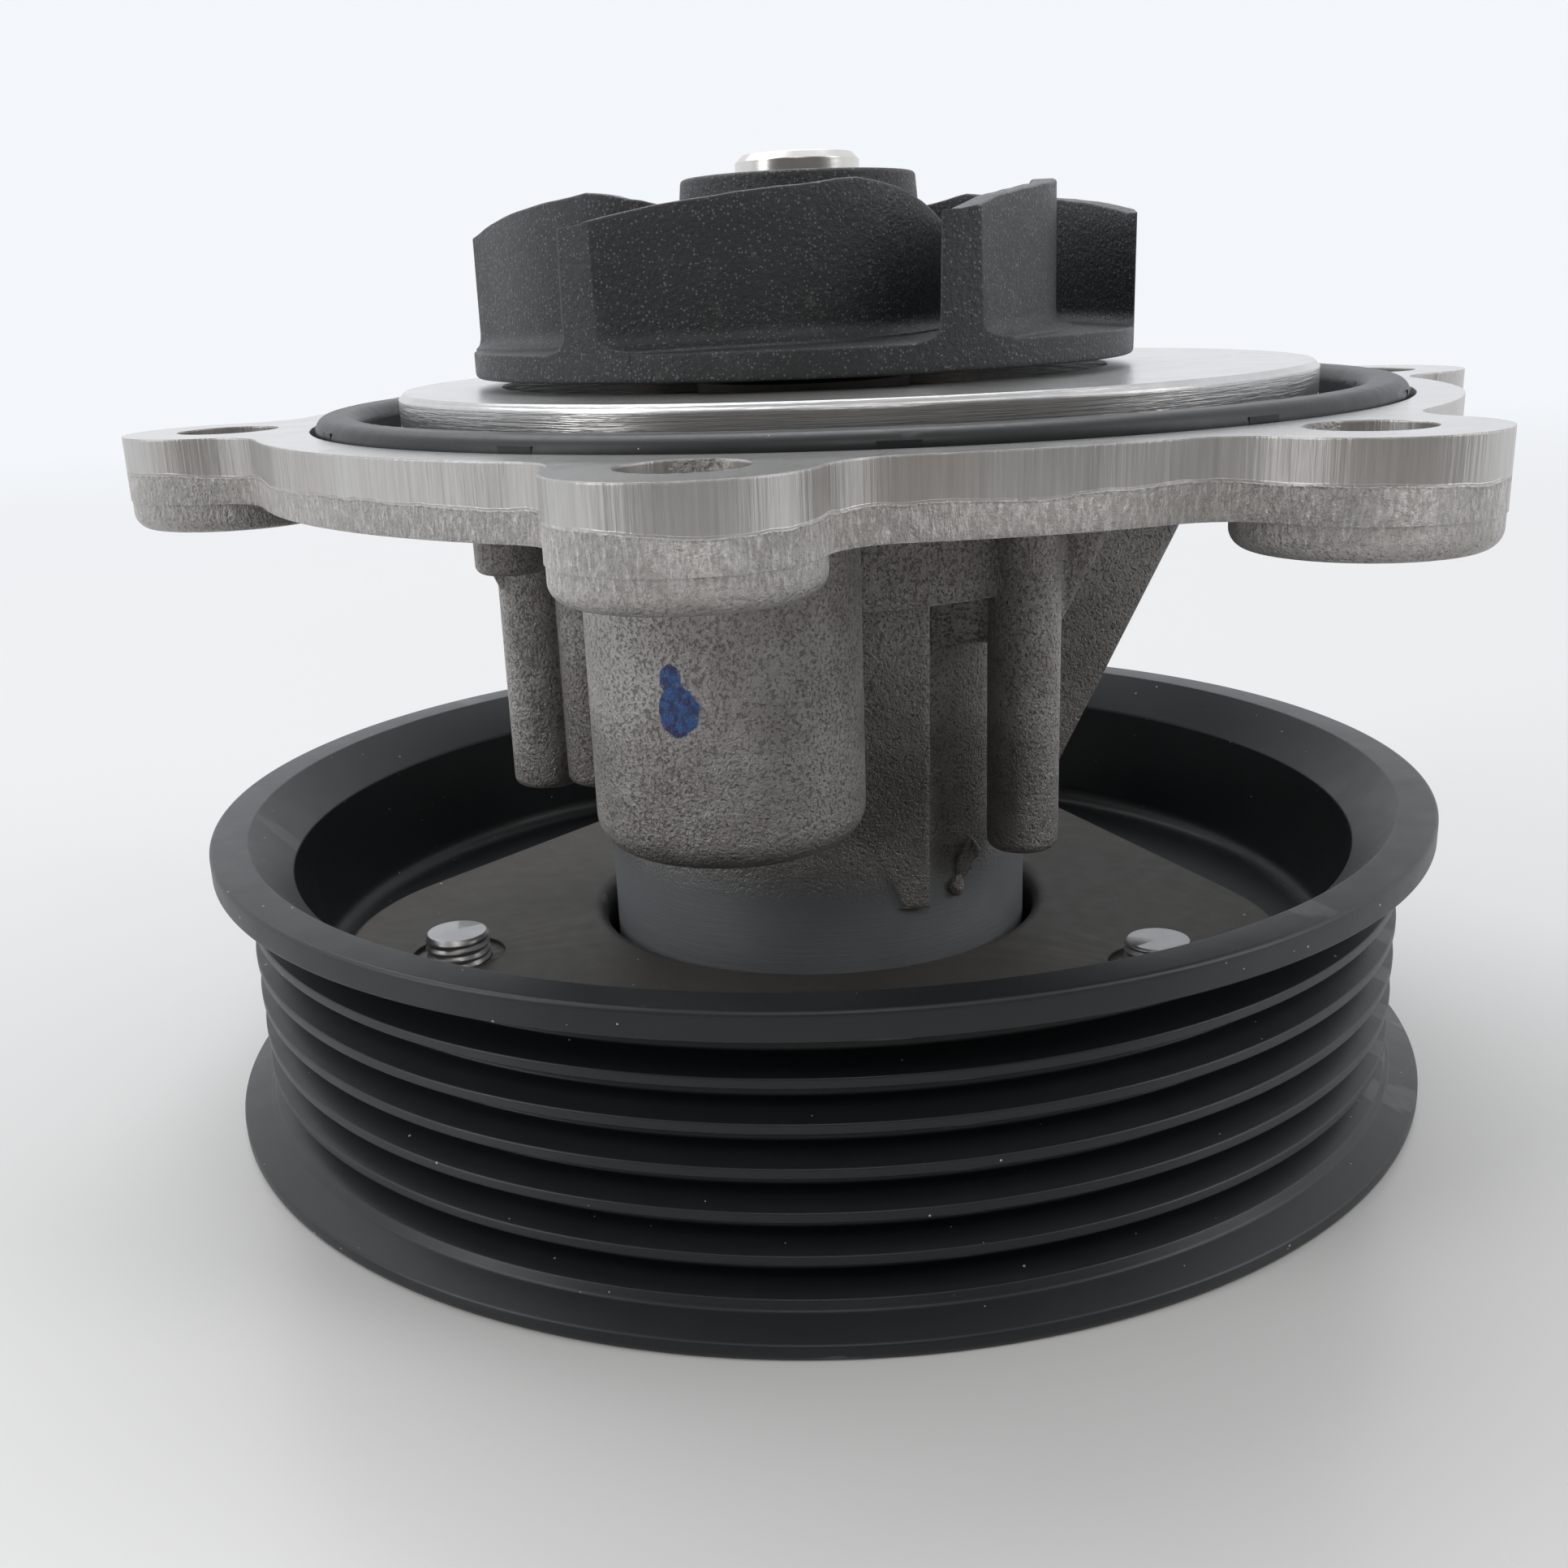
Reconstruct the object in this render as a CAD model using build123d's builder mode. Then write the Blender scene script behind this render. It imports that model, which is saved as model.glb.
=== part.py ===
from build123d import *
from math import cos, radians, sin, tan
import os

# Engine coolant pump with a six-groove belt pulley.
# The Z axis is the shaft's axis. z = 0 is the mounting face, which bolts to the engine. The impeller
# points up, into the engine, and the pulley hangs below. All sizes are in millimetres.

os.makedirs("parts", exist_ok=True)

# ---- Driving dimensions ----------------------------------------------------------------------------

# Gaps that are drawn between pieces.
press_gap = 0.01                # radial gap where one piece is pressed into another
running_gap = 0.05              # balls to raceways, and the two faces of the shaft seal
lip_gap = 0.15                  # bearing lip seal to the turning shaft

# Mounting flange and its six lugs, in two sets of three.
flange_radius = 53.0
flange_offset = 4.0             # the flange's centre lies this far towards +X from the shaft
flange_thickness = 5.5
lug_circle = 112.0              # pitch circle diameter of the lug holes
lug_set_angles = (-173.0, -102.0)
lugs_per_set = 3
lug_radius = 9.0
lug_thickness = 8.0
lug_blend = 6.0
lug_hole_radius = 4.4           # clears an M8 screw
lug_foot_step = 0.1             # the foot of a lug is this much smaller in radius
lug_edge_rounding = 1.4

# Pilot that enters the engine, the recess under the impeller, and the groove of the flange seal.
pilot_radius = 41.0
pilot_offset = 4.5
pilot_height = 2.7
pilot_chamfer = 0.5
recess_radius = 27.5
recess_depth = 3.0
groove_radius = 48.8
groove_depth = 2.5
seal_width = 3.8
seal_height = 3.7
seal_side_gap = 0.5
seal_tab_length = 3.0
seal_tab_height = 3.0
seal_tab_count = 11
seal_tab_first_angle = -88.1

# Neck of the casting, with the bores inside it.
neck_radius = 20.4
neck_skirt = 4.0                # the neck reaches this far below the bearing
skirt_bore_radius = 16.2
seal_bore_radius = 14.0
seal_bore_depth = 12.5
drain_height = 2.5              # gap between the shaft seal and the bearing
drain_radius = 13.0
weep_hole_radius = 1.8
collar_radius = 24.5
collar_bottom = -15.2

# Bosses, posts and webs that are cast under the flange: x, y, radius and how deep each one reaches.
front_boss = (-6.9, -30.0, 10.9, 32.0)
front_boss_rounding = 2.8
posts = (
    (18.3, -17.0, 3.15, 38.0),
    (-25.6, -5.0, 3.3, 34.0),
    (-19.6, -8.5, 3.6, 33.0),
    (-26.0, -13.5, 3.2, 12.5),
    (17.0, 19.0, 4.0, 30.0),
    (-14.0, 22.5, 4.0, 34.0),
)
post_rounding = 0.8
boss_web_half_width = 5.4       # web that joins the front boss to the neck, and slopes into it
boss_web_x = 4.4
boss_web_front = 22.4
boss_web_slope_start = 19.0
boss_web_foot = 19.2
boss_web_depth = 43.0
side_web_thickness = 5.0        # web that joins the left posts to the neck
side_web_reach = 25.0
side_web_depth = 33.0
side_web_flare = 32.5           # the web's reach under the flange, left of the posts
side_web_flare_depth = 15.0
post_web_thickness = 3.4        # small web between the right post and the flange
post_web_reach = 28.0
post_web_tip = 20.6
post_web_depth = 19.5
gusset_y = 5.0                  # the long gusset on the right
gusset_thickness = 6.0
gusset_top_reach = 38.6
gusset_knee_reach = 35.2
gusset_knee_depth = 13.0
gusset_low_reach = 22.4
gusset_low_depth = 39.5

# Shaft and its double-row bearing, whose inner raceways are ground in the shaft.
shaft_radius = 7.95
shaft_nose_radius = 5.5
shaft_top = 21.3
shaft_chamfer = 0.6
centre_hole_radius = 1.6
centre_hole_depth = 2.4
bearing_radius = 15.0
bearing_length = 36.0
bearing_row_spacing = 19.0
ball_radius = 2.75
ball_count = 8
raceway_depth = 0.7             # how far a ball sinks into each raceway
cage_half_width = 0.85
cage_height = 7.2
cage_pocket_gap = 0.15
lip_seal_thickness = 1.2
lip_seal_inset = 0.5
slinger_radius = 11.5
slinger_thickness = 1.2

# Shaft seal.
cup_wall = 0.8
cup_flange_radius = 16.2
cup_hole_radius = 8.0
carbon_inner_radius = 6.7
carbon_outer_radius = 10.0
carbon_height = 5.2
carbon_top = -0.3
carrier_wall = 0.7
carrier_flange_radius = 12.8
carrier_height = 4.0
bellows_wall = 0.9
bellows_bulge = 1.6
spring_radius = 11.3
spring_wire_radius = 0.5
spring_turns = 3
seat_height = 2.5
seat_radius = 9.8
seat_boot_wall = 1.4

# Impeller.
impeller_radius = 29.65
impeller_bottom = 3.57
impeller_rim_thickness = 2.23
impeller_edge_rounding = 0.5
impeller_web_rise = 1.2         # the disc is this much higher at the hub than at its rim
impeller_hub_top = 19.5
impeller_hub_top_radius = 10.4
impeller_hub_foot_radius = 11.6
insert_radius = 8.2
insert_inset = 1.6
vane_count = 6
vane_first_angle = -126.0
vane_thickness = 2.3
vane_lean = 39.0                # angle between the vane and the rim at the tip
vane_tip_height = 15.3
vane_peak_radius = 22.0
vane_peak_height = 18.1
vane_root_height = 13.2
vane_middle = (22.0, 46.6)      # radius, and angle swept from the tip, along the vane's middle line
vane_inner = (14.0, 92.5)
vane_root = (10.2, 121.0)
vane_overhang = 4.0             # length cut off where the vane meets the rim

# Hub flange, a steel pressing with a deep cup around the neck.
hub_plate_top = -47.7
hub_plate_thickness = 4.0
hub_corner_share = 5 / 11      # distance of a corner's centre, as a share of the pulley's bore radius
hub_rim_gap = 3.1               # from each corner to the pulley's bore
hub_neck_gap = 1.0
hub_cup_wall = 3.0
hub_floor_gap = 2.0
hub_floor_thickness = 3.0
hub_collar_radius = 11.0
hub_collar_gap = 1.5            # between the hub's collar and the bearing
hub_lip_rounding = 1.4
hub_edge_rounding = 0.7

# Screws that hold the pulley to the hub flange.
screw_circle_inset = 2.1        # the screw circle is this much smaller than midway across the web
screw_count = 3
screw_first_angle = -36.5
screw_radius = 3.0
screw_hole_gap = 0.3
screw_end_height = 2.2          # how far each screw stands above the hub plate
screw_end_chamfer = 0.6
screw_head_flats = 10.0
screw_head_height = 4.2
screw_head_flange_radius = 6.5
screw_head_flange_thickness = 1.3
screw_dimple_radius = 4.3
screw_dimple_depth = 0.4

# Pulley.
pulley_front = -63.0            # lowest face of the whole pump
crest_radius = 54.9
groove_pitch = 3.56             # PK belt profile
belt_groove_count = 6
belt_groove_depth = 2.7
belt_groove_half_angle = 20.0
crest_width = 0.8
belt_plane_height = 13.44       # middle of the grooves above the pulley's lowest face
low_flange_radius = 58.0
low_flange_height = 1.3
low_flange_chamfer = 0.5
low_flange_foot = 2.4
top_flange_radius = 57.7
top_flange_height = 2.3
top_flange_top = 27.3
top_flange_land = 54.3
top_flange_cone_depth = 3.6
pulley_bore_radius = 50.6
pulley_web_thickness = 3.0
pulley_web_hole_gap = 1.1
pulley_web_fillet = 2.0

# ---- Levels and radii that follow from them --------------------------------------------------------

bearing_top = -(seal_bore_depth + drain_height)
bearing_bottom = bearing_top - bearing_length
bearing_middle = (bearing_top + bearing_bottom) / 2
neck_bottom = bearing_bottom - neck_skirt
hub_floor_top = neck_bottom - hub_floor_gap
hub_bottom = hub_floor_top - hub_floor_thickness
hub_cup_radius = neck_radius + hub_neck_gap
hub_plate_bottom = hub_plate_top - hub_plate_thickness
hub_corner_distance = pulley_bore_radius * hub_corner_share
hub_corner_radius = pulley_bore_radius - hub_rim_gap - hub_corner_distance
pulley_web_bottom = hub_plate_bottom - pulley_web_thickness
pulley_web_hole_radius = hub_cup_radius + hub_cup_wall + pulley_web_hole_gap
screw_circle = pulley_web_hole_radius + pulley_bore_radius - screw_circle_inset
ball_circle_radius = shaft_radius + ball_radius - raceway_depth
race_inner_radius = ball_circle_radius + ball_radius - raceway_depth
row_levels = (bearing_middle - bearing_row_spacing / 2, bearing_middle + bearing_row_spacing / 2)
cup_bottom = -seal_bore_depth + press_gap
carbon_bottom = carbon_top - carbon_height
seat_bottom = carbon_top + running_gap
seat_top = seat_bottom + seat_height


def ring(inner_radius, outer_radius, low, high):
    """A plain ring about the shaft's axis, from the level low to the level high."""
    with BuildPart() as piece:
        with BuildSketch(Plane.XY.offset(low)):
            Circle(outer_radius)
            Circle(inner_radius, mode=Mode.SUBTRACT)
        extrude(amount=high - low)
    return piece


def polar_point(radius, angle):
    """The point at a radius and an angle in degrees about the shaft's axis."""
    return (radius * cos(radians(angle)), radius * sin(radians(angle)))


def cast_post(x, y, radius, depth, rounding):
    """A round post that rises into the flange, with its foot rounded."""
    with BuildPart() as post:
        with BuildSketch(Plane.XY.offset(-depth)):
            with Locations((x, y)):
                Circle(radius)
        extrude(amount=depth - flange_thickness)
        fillet(post.faces().sort_by(Axis.Z)[0].edges(), rounding)
    return post.part


# ---- Pump housing: one aluminium casting -----------------------------------------------------------

cast_posts = [cast_post(*front_boss, front_boss_rounding)]
cast_posts += [cast_post(*post, post_rounding) for post in posts]

with BuildPart() as pump_housing:
    # Rounded feet, which make the lugs thicker than the flange.
    with BuildSketch(Plane.XY.offset(-lug_thickness)):
        with Locations((flange_offset, 0)):
            for start in lug_set_angles:
                with PolarLocations(lug_circle / 2, lugs_per_set, start_angle=start):
                    Circle(lug_radius - lug_foot_step)
    extrude(amount=lug_thickness - flange_thickness / 2)
    fillet(pump_housing.faces().group_by(Axis.Z)[0].edges(), lug_edge_rounding)
    # Flange plate, whose rim blends into the lugs.
    with BuildSketch(Plane.XY.offset(-flange_thickness)) as flange_outline:
        with Locations((flange_offset, 0)):
            Circle(flange_radius)
            for start in lug_set_angles:
                with PolarLocations(lug_circle / 2, lugs_per_set, start_angle=start):
                    Circle(lug_radius)
        fillet(flange_outline.vertices(), lug_blend)
    extrude(amount=flange_thickness)

    # Neck around the bearing, and the wider collar above it.
    with BuildSketch(Plane.XY.offset(neck_bottom)):
        Circle(neck_radius)
    extrude(amount=-neck_bottom - groove_depth)
    with BuildSketch(Plane.XY.offset(collar_bottom)):
        Circle(collar_radius)
    extrude(amount=-collar_bottom - groove_depth)

    # Webs, drawn from the side.
    with BuildSketch(Plane.YZ.offset(boss_web_x)):
        Polygon(
            (0, -flange_thickness),
            (-boss_web_front, -flange_thickness),
            (-boss_web_front, -boss_web_slope_start),
            (-boss_web_foot, -boss_web_depth),
            (0, -boss_web_depth),
            align=None,
        )
    extrude(amount=boss_web_half_width, both=True)
    with BuildSketch(Plane.XZ.offset(-posts[1][1])):
        Polygon(
            (0, -flange_thickness),
            (-side_web_flare, -flange_thickness),
            (-side_web_reach - posts[1][2], -side_web_flare_depth),
            (-side_web_reach, -side_web_flare_depth),
            (-side_web_reach, -side_web_depth),
            (0, -side_web_depth),
            align=None,
        )
    extrude(amount=side_web_thickness / 2, both=True)
    with BuildSketch(Plane.XZ.offset(-posts[0][1])):
        Polygon(
            (0, -flange_thickness),
            (post_web_reach, -flange_thickness),
            (post_web_tip, -post_web_depth),
            (0, -post_web_depth),
            align=None,
        )
    extrude(amount=-post_web_thickness)
    with BuildSketch(Plane.XZ.offset(-gusset_y)):
        Polygon(
            (0, -flange_thickness),
            (gusset_top_reach, -flange_thickness),
            (gusset_knee_reach, -gusset_knee_depth),
            (gusset_low_reach, -gusset_low_depth),
            (0, -gusset_low_depth),
            align=None,
        )
    extrude(amount=gusset_thickness / 2, both=True)

    add(cast_posts)

    # Pilot, and the groove around it.
    with BuildSketch(Plane.XY):
        with Locations((pilot_offset, 0)):
            Circle(pilot_radius)
    extrude(amount=pilot_height)
    chamfer(pump_housing.faces().sort_by(Axis.Z)[-1].edges(), pilot_chamfer)
    with BuildSketch(Plane.XY):
        with Locations((pilot_offset, 0)):
            Circle(groove_radius)
            Circle(pilot_radius, mode=Mode.SUBTRACT)
    extrude(amount=-groove_depth, mode=Mode.SUBTRACT)

    # Stepped bore, from the recess under the impeller down to the open skirt.
    for radius, low, high in (
        (recess_radius, -recess_depth, pilot_height),
        (seal_bore_radius, -seal_bore_depth, -recess_depth),
        (drain_radius, bearing_top, -seal_bore_depth),
        (bearing_radius + press_gap, bearing_bottom, bearing_top),
        (skirt_bore_radius, neck_bottom, bearing_bottom),
    ):
        with BuildSketch(Plane.XY.offset(low)):
            Circle(radius)
        extrude(amount=high - low, mode=Mode.SUBTRACT)

    # Screw holes through the lugs, and the weep hole from the drain gap to the outside.
    with Locations((flange_offset, 0)):
        for start in lug_set_angles:
            with PolarLocations(lug_circle / 2, lugs_per_set, start_angle=start):
                Hole(lug_hole_radius)
    with BuildSketch(Plane.XZ):
        with Locations((0, bearing_top + drain_height / 2)):
            Circle(weep_hole_radius)
    extrude(amount=-2 * collar_radius, mode=Mode.SUBTRACT)

pump_housing.part.label = "pump_housing"
export_step(pump_housing.part, "parts/pump_housing.step")

# ---- Flange seal: a moulded rubber ring with small holding tabs ------------------------------------

seal_outer_radius = groove_radius - seal_side_gap
with BuildPart() as flange_seal:
    with BuildSketch(Plane.XY.offset(-groove_depth)):
        with Locations((pilot_offset, 0)):
            Circle(seal_outer_radius)
            Circle(seal_outer_radius - seal_width, mode=Mode.SUBTRACT)
    extrude(amount=seal_height)
    fillet(flange_seal.faces().sort_by(Axis.Z)[-1].edges(), seal_width / 3)
    with BuildSketch(Plane.XY.offset(-groove_depth)):
        with Locations((pilot_offset, 0)):
            with PolarLocations(
                seal_outer_radius - seal_side_gap, seal_tab_count, start_angle=seal_tab_first_angle
            ):
                Rectangle(2 * seal_side_gap, seal_tab_length)
    extrude(amount=seal_tab_height)
    with BuildSketch(Plane.XY.offset(-groove_depth)):
        with Locations((pilot_offset, 0)):
            Circle(groove_radius - press_gap)
    extrude(amount=seal_height, mode=Mode.INTERSECT)
flange_seal.part.label = "flange_seal"
export_step(flange_seal.part, "parts/flange_seal.step")

# ---- Shaft -----------------------------------------------------------------------------------------

shaft_step = -seal_bore_depth
with BuildPart() as shaft:
    with BuildSketch(Plane.XY.offset(hub_bottom)):
        Circle(shaft_radius)
    extrude(amount=shaft_step - hub_bottom)
    with BuildSketch(Plane.XY.offset(shaft_step)):
        Circle(shaft_nose_radius)
    extrude(amount=shaft_top - shaft_step)
    chamfer(shaft.faces().sort_by(Axis.Z)[0].edges(), shaft_chamfer)
    chamfer(shaft.faces().sort_by(Axis.Z)[-1].edges(), shaft_chamfer)
    for level in row_levels:
        with Locations((0, 0, level)):
            Torus(ball_circle_radius, ball_radius + running_gap, mode=Mode.SUBTRACT)
    with Locations((0, 0, shaft_top - centre_hole_depth / 2)):
        Cone(0.1, centre_hole_radius, centre_hole_depth, mode=Mode.SUBTRACT)
    with Locations((0, 0, hub_bottom + centre_hole_depth / 2)):
        Cone(centre_hole_radius, 0.1, centre_hole_depth, mode=Mode.SUBTRACT)
shaft.part.label = "shaft"
export_step(shaft.part, "parts/shaft.step")

# ---- Bearing: outer ring, two rows of balls in cages, and a lip seal at each end -------------------

with BuildPart() as bearing_outer_ring:
    with BuildSketch(Plane.XY.offset(bearing_bottom)):
        Circle(bearing_radius)
        Circle(race_inner_radius, mode=Mode.SUBTRACT)
    extrude(amount=bearing_length)
    for level in row_levels:
        with Locations((0, 0, level)):
            Torus(ball_circle_radius, ball_radius + running_gap, mode=Mode.SUBTRACT)
bearing_outer_ring.part.label = "bearing_outer_ring"
export_step(bearing_outer_ring.part, "parts/bearing_outer_ring.step")

for row_name, level in zip(("pulley_side", "impeller_side"), row_levels):
    with BuildPart() as balls:
        with Locations((0, 0, level)):
            with PolarLocations(ball_circle_radius, ball_count):
                Sphere(ball_radius)
    balls.part.label = f"balls_{row_name}"
    export_step(balls.part, f"parts/balls_{row_name}.step")

    with BuildPart() as cage:
        with BuildSketch(Plane.XY.offset(level - cage_height / 2)):
            Circle(ball_circle_radius + cage_half_width)
            Circle(ball_circle_radius - cage_half_width, mode=Mode.SUBTRACT)
        extrude(amount=cage_height)
        with Locations((0, 0, level)):
            with PolarLocations(ball_circle_radius, ball_count):
                Cylinder(
                    ball_radius + cage_pocket_gap,
                    4 * cage_half_width,
                    rotation=(0, 90, 0),
                    mode=Mode.SUBTRACT,
                )
    cage.part.label = f"ball_cage_{row_name}"
    export_step(cage.part, f"parts/ball_cage_{row_name}.step")

for seal_name, low in (
    ("pulley_side", bearing_bottom + lip_seal_inset),
    ("impeller_side", bearing_top - lip_seal_inset - lip_seal_thickness),
):
    lip_seal = ring(shaft_radius + lip_gap, race_inner_radius - press_gap, low, low + lip_seal_thickness)
    lip_seal.part.label = f"bearing_seal_{seal_name}"
    export_step(lip_seal.part, f"parts/bearing_seal_{seal_name}.step")

slinger_bottom = bearing_top + (drain_height - slinger_thickness) / 2
slinger = ring(shaft_radius + press_gap, slinger_radius, slinger_bottom, slinger_bottom + slinger_thickness)
slinger.part.label = "slinger"
export_step(slinger.part, "parts/slinger.step")

# ---- Shaft seal: cup, bellows, spring, carrier and carbon stand still; seat and boot turn ----------

with BuildPart() as seal_cup:
    with BuildSketch(Plane.XY.offset(cup_bottom)):
        Circle(seal_bore_radius - press_gap)
    extrude(amount=-recess_depth + cup_wall - cup_bottom)
    with BuildSketch(Plane.XY.offset(-recess_depth)):
        Circle(cup_flange_radius)
    extrude(amount=cup_wall)
    with BuildSketch(Plane.XY.offset(cup_bottom + cup_wall)):
        Circle(seal_bore_radius - press_gap - cup_wall)
    extrude(amount=seal_bore_depth, mode=Mode.SUBTRACT)
    with BuildSketch(Plane.XY.offset(cup_bottom)):
        Circle(cup_hole_radius)
    extrude(amount=cup_wall, mode=Mode.SUBTRACT)
seal_cup.part.label = "seal_cup"
export_step(seal_cup.part, "parts/seal_cup.step")

seal_carbon_ring = ring(carbon_inner_radius, carbon_outer_radius, carbon_bottom, carbon_top)
seal_carbon_ring.part.label = "seal_carbon_ring"
export_step(seal_carbon_ring.part, "parts/seal_carbon_ring.step")

bellows_low = cup_bottom + cup_wall
bellows_middle = (bellows_low + carbon_bottom) / 2
bellows_inner_radius = cup_hole_radius + press_gap
with BuildPart() as seal_bellows:
    with BuildSketch(Plane.XZ):
        Polygon(
            (bellows_inner_radius, bellows_low),
            (bellows_inner_radius + bellows_wall, bellows_low),
            (bellows_inner_radius + bellows_wall + bellows_bulge, bellows_middle),
            (bellows_inner_radius + bellows_wall, carbon_bottom),
            (bellows_inner_radius, carbon_bottom),
            (bellows_inner_radius + bellows_bulge, bellows_middle),
            align=None,
        )
    revolve(axis=Axis.Z)
seal_bellows.part.label = "seal_bellows"
export_step(seal_bellows.part, "parts/seal_bellows.step")

with BuildPart() as seal_carrier:
    with BuildSketch(Plane.XY.offset(carbon_bottom)):
        Circle(carrier_flange_radius)
        Circle(carbon_outer_radius + press_gap, mode=Mode.SUBTRACT)
    extrude(amount=carrier_wall)
    with BuildSketch(Plane.XY.offset(carbon_bottom)):
        Circle(carbon_outer_radius + press_gap + carrier_wall)
        Circle(carbon_outer_radius + press_gap, mode=Mode.SUBTRACT)
    extrude(amount=carrier_height)
seal_carrier.part.label = "seal_carrier"
export_step(seal_carrier.part, "parts/seal_carrier.step")

spring_low = bellows_low + spring_wire_radius
spring_pitch = (carbon_bottom - bellows_low - 2 * spring_wire_radius) / spring_turns
with BuildPart() as seal_spring:
    with BuildLine():
        coil = Helix(
            pitch=spring_pitch,
            height=spring_pitch * spring_turns,
            radius=spring_radius,
            center=(0, 0, spring_low),
        )
    with BuildSketch(Plane(origin=coil @ 0, z_dir=coil % 0)):
        Circle(spring_wire_radius)
    sweep(path=coil, is_frenet=True)
seal_spring.part.label = "seal_spring"
export_step(seal_spring.part, "parts/seal_spring.step")

seat_inner_radius = shaft_nose_radius + press_gap + seat_boot_wall
seal_seat = ring(seat_inner_radius, seat_radius, seat_bottom, seat_top)
seal_seat.part.label = "seal_seat"
export_step(seal_seat.part, "parts/seal_seat.step")

with BuildPart() as seal_seat_boot:
    with BuildSketch(Plane.XY.offset(seat_bottom + running_gap)):
        Circle(seat_inner_radius - press_gap)
    extrude(amount=impeller_bottom - seat_bottom - running_gap)
    with BuildSketch(Plane.XY.offset(seat_top)):
        Circle(seat_radius)
    extrude(amount=impeller_bottom - seat_top)
    with BuildSketch(Plane.XY.offset(seat_bottom)):
        Circle(shaft_nose_radius + press_gap)
    extrude(amount=impeller_bottom - seat_bottom, mode=Mode.SUBTRACT)
seal_seat_boot.part.label = "seal_seat_boot"
export_step(seal_seat_boot.part, "parts/seal_seat_boot.step")

# ---- Impeller: moulded disc, hub and curved vanes, with a metal insert in the hub ------------------

rim_top = impeller_bottom + impeller_rim_thickness
insert_low = impeller_bottom + insert_inset
insert_high = impeller_hub_top - insert_inset

with BuildPart() as impeller:
    # Vanes, drawn from above along their middle lines.
    with BuildSketch(Plane.XY.offset(impeller_bottom)):
        for number in range(vane_count):
            tip_angle = vane_first_angle + number * 360 / vane_count
            heading = tip_angle + 90 + vane_lean
            tip = Vector(*polar_point(impeller_radius, tip_angle))
            along = Vector(*polar_point(1, heading))
            swept = [
                polar_point(radius, tip_angle + sweep)
                for radius, sweep in (vane_middle, vane_inner, vane_root)
            ]
            root_heading = polar_point(1, tip_angle + vane_root[1] + 90 + vane_lean)
            with BuildLine():
                Line(tip - along * vane_overhang, tip)
                Spline(tip, *swept, tangents=(along, root_heading))
            trace(line_width=vane_thickness)
    extrude(amount=vane_peak_height)
    # The vanes' outline, seen from the side, trims their tips, tops and roots.
    with BuildSketch(Plane.XZ):
        Polygon(
            (0, impeller_bottom),
            (impeller_radius, impeller_bottom),
            (impeller_radius, vane_tip_height),
            (vane_peak_radius, vane_peak_height),
            (impeller_hub_top_radius, vane_root_height),
            (0, vane_root_height),
            align=None,
        )
    revolve(axis=Axis.Z, mode=Mode.INTERSECT)
    # Disc and hub.
    with BuildSketch(Plane.XZ) as disc_and_hub:
        Polygon(
            (0, impeller_bottom),
            (impeller_radius, impeller_bottom),
            (impeller_radius, rim_top),
            (impeller_hub_foot_radius, rim_top + impeller_web_rise),
            (impeller_hub_top_radius, impeller_hub_top),
            (0, impeller_hub_top),
            align=None,
        )
        outer_corners = disc_and_hub.vertices().group_by(Axis.X)[-1]
        fillet(outer_corners.sort_by(Axis.Y)[0], impeller_edge_rounding)
    revolve(axis=Axis.Z)
    # Bore for the shaft, and the pocket that the insert fills.
    with BuildSketch(Plane.XY.offset(impeller_bottom)):
        Circle(shaft_nose_radius + press_gap)
    extrude(amount=impeller_hub_top - impeller_bottom, mode=Mode.SUBTRACT)
    with BuildSketch(Plane.XY.offset(insert_low)):
        Circle(insert_radius + press_gap)
    extrude(amount=insert_high - insert_low, mode=Mode.SUBTRACT)
impeller.part.label = "impeller"
export_step(impeller.part, "parts/impeller.step")

impeller_insert = ring(shaft_nose_radius + press_gap, insert_radius, insert_low, insert_high)
impeller_insert.part.label = "impeller_insert"
export_step(impeller_insert.part, "parts/impeller_insert.step")

# ---- Hub flange ------------------------------------------------------------------------------------

with BuildPart() as hub_flange:
    with BuildSketch(Plane.XY.offset(hub_plate_bottom)):
        with PolarLocations(hub_corner_distance, screw_count, start_angle=screw_first_angle):
            Circle(hub_corner_radius)
        make_hull()
    extrude(amount=hub_plate_thickness)
    fillet(hub_flange.faces().sort_by(Axis.Z)[-1].edges(), hub_edge_rounding)
    with BuildSketch(Plane.XY.offset(hub_bottom)):
        Circle(hub_cup_radius + hub_cup_wall)
    extrude(amount=hub_plate_bottom - hub_bottom)
    fillet(hub_flange.faces().sort_by(Axis.Z)[0].edges(), hub_edge_rounding)
    with BuildSketch(Plane.XY.offset(hub_floor_top)):
        Circle(hub_cup_radius)
    extrude(amount=hub_plate_top - hub_floor_top, mode=Mode.SUBTRACT)
    lip = hub_flange.edges().filter_by(GeomType.CIRCLE).filter_by(
        lambda edge: abs(edge.radius - hub_cup_radius) < 0.001
    )
    fillet(lip.sort_by(Axis.Z)[-1], hub_lip_rounding)
    # Collar that is pressed onto the shaft.
    with BuildSketch(Plane.XY.offset(hub_floor_top)):
        Circle(hub_collar_radius)
    extrude(amount=bearing_bottom - hub_collar_gap - hub_floor_top)
    with BuildSketch(Plane.XY.offset(hub_bottom)):
        Circle(shaft_radius + press_gap)
    extrude(amount=bearing_bottom - hub_bottom, mode=Mode.SUBTRACT)
    # Tapped holes, each with a shallow dimple at its mouth.
    with Locations((0, 0, hub_plate_top)):
        with PolarLocations(screw_circle / 2, screw_count, start_angle=screw_first_angle):
            CounterBoreHole(screw_radius + press_gap, screw_dimple_radius, screw_dimple_depth)
hub_flange.part.label = "hub_flange"
export_step(hub_flange.part, "parts/hub_flange.step")

# ---- Pulley: one turned and pressed steel piece ----------------------------------------------------

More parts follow.
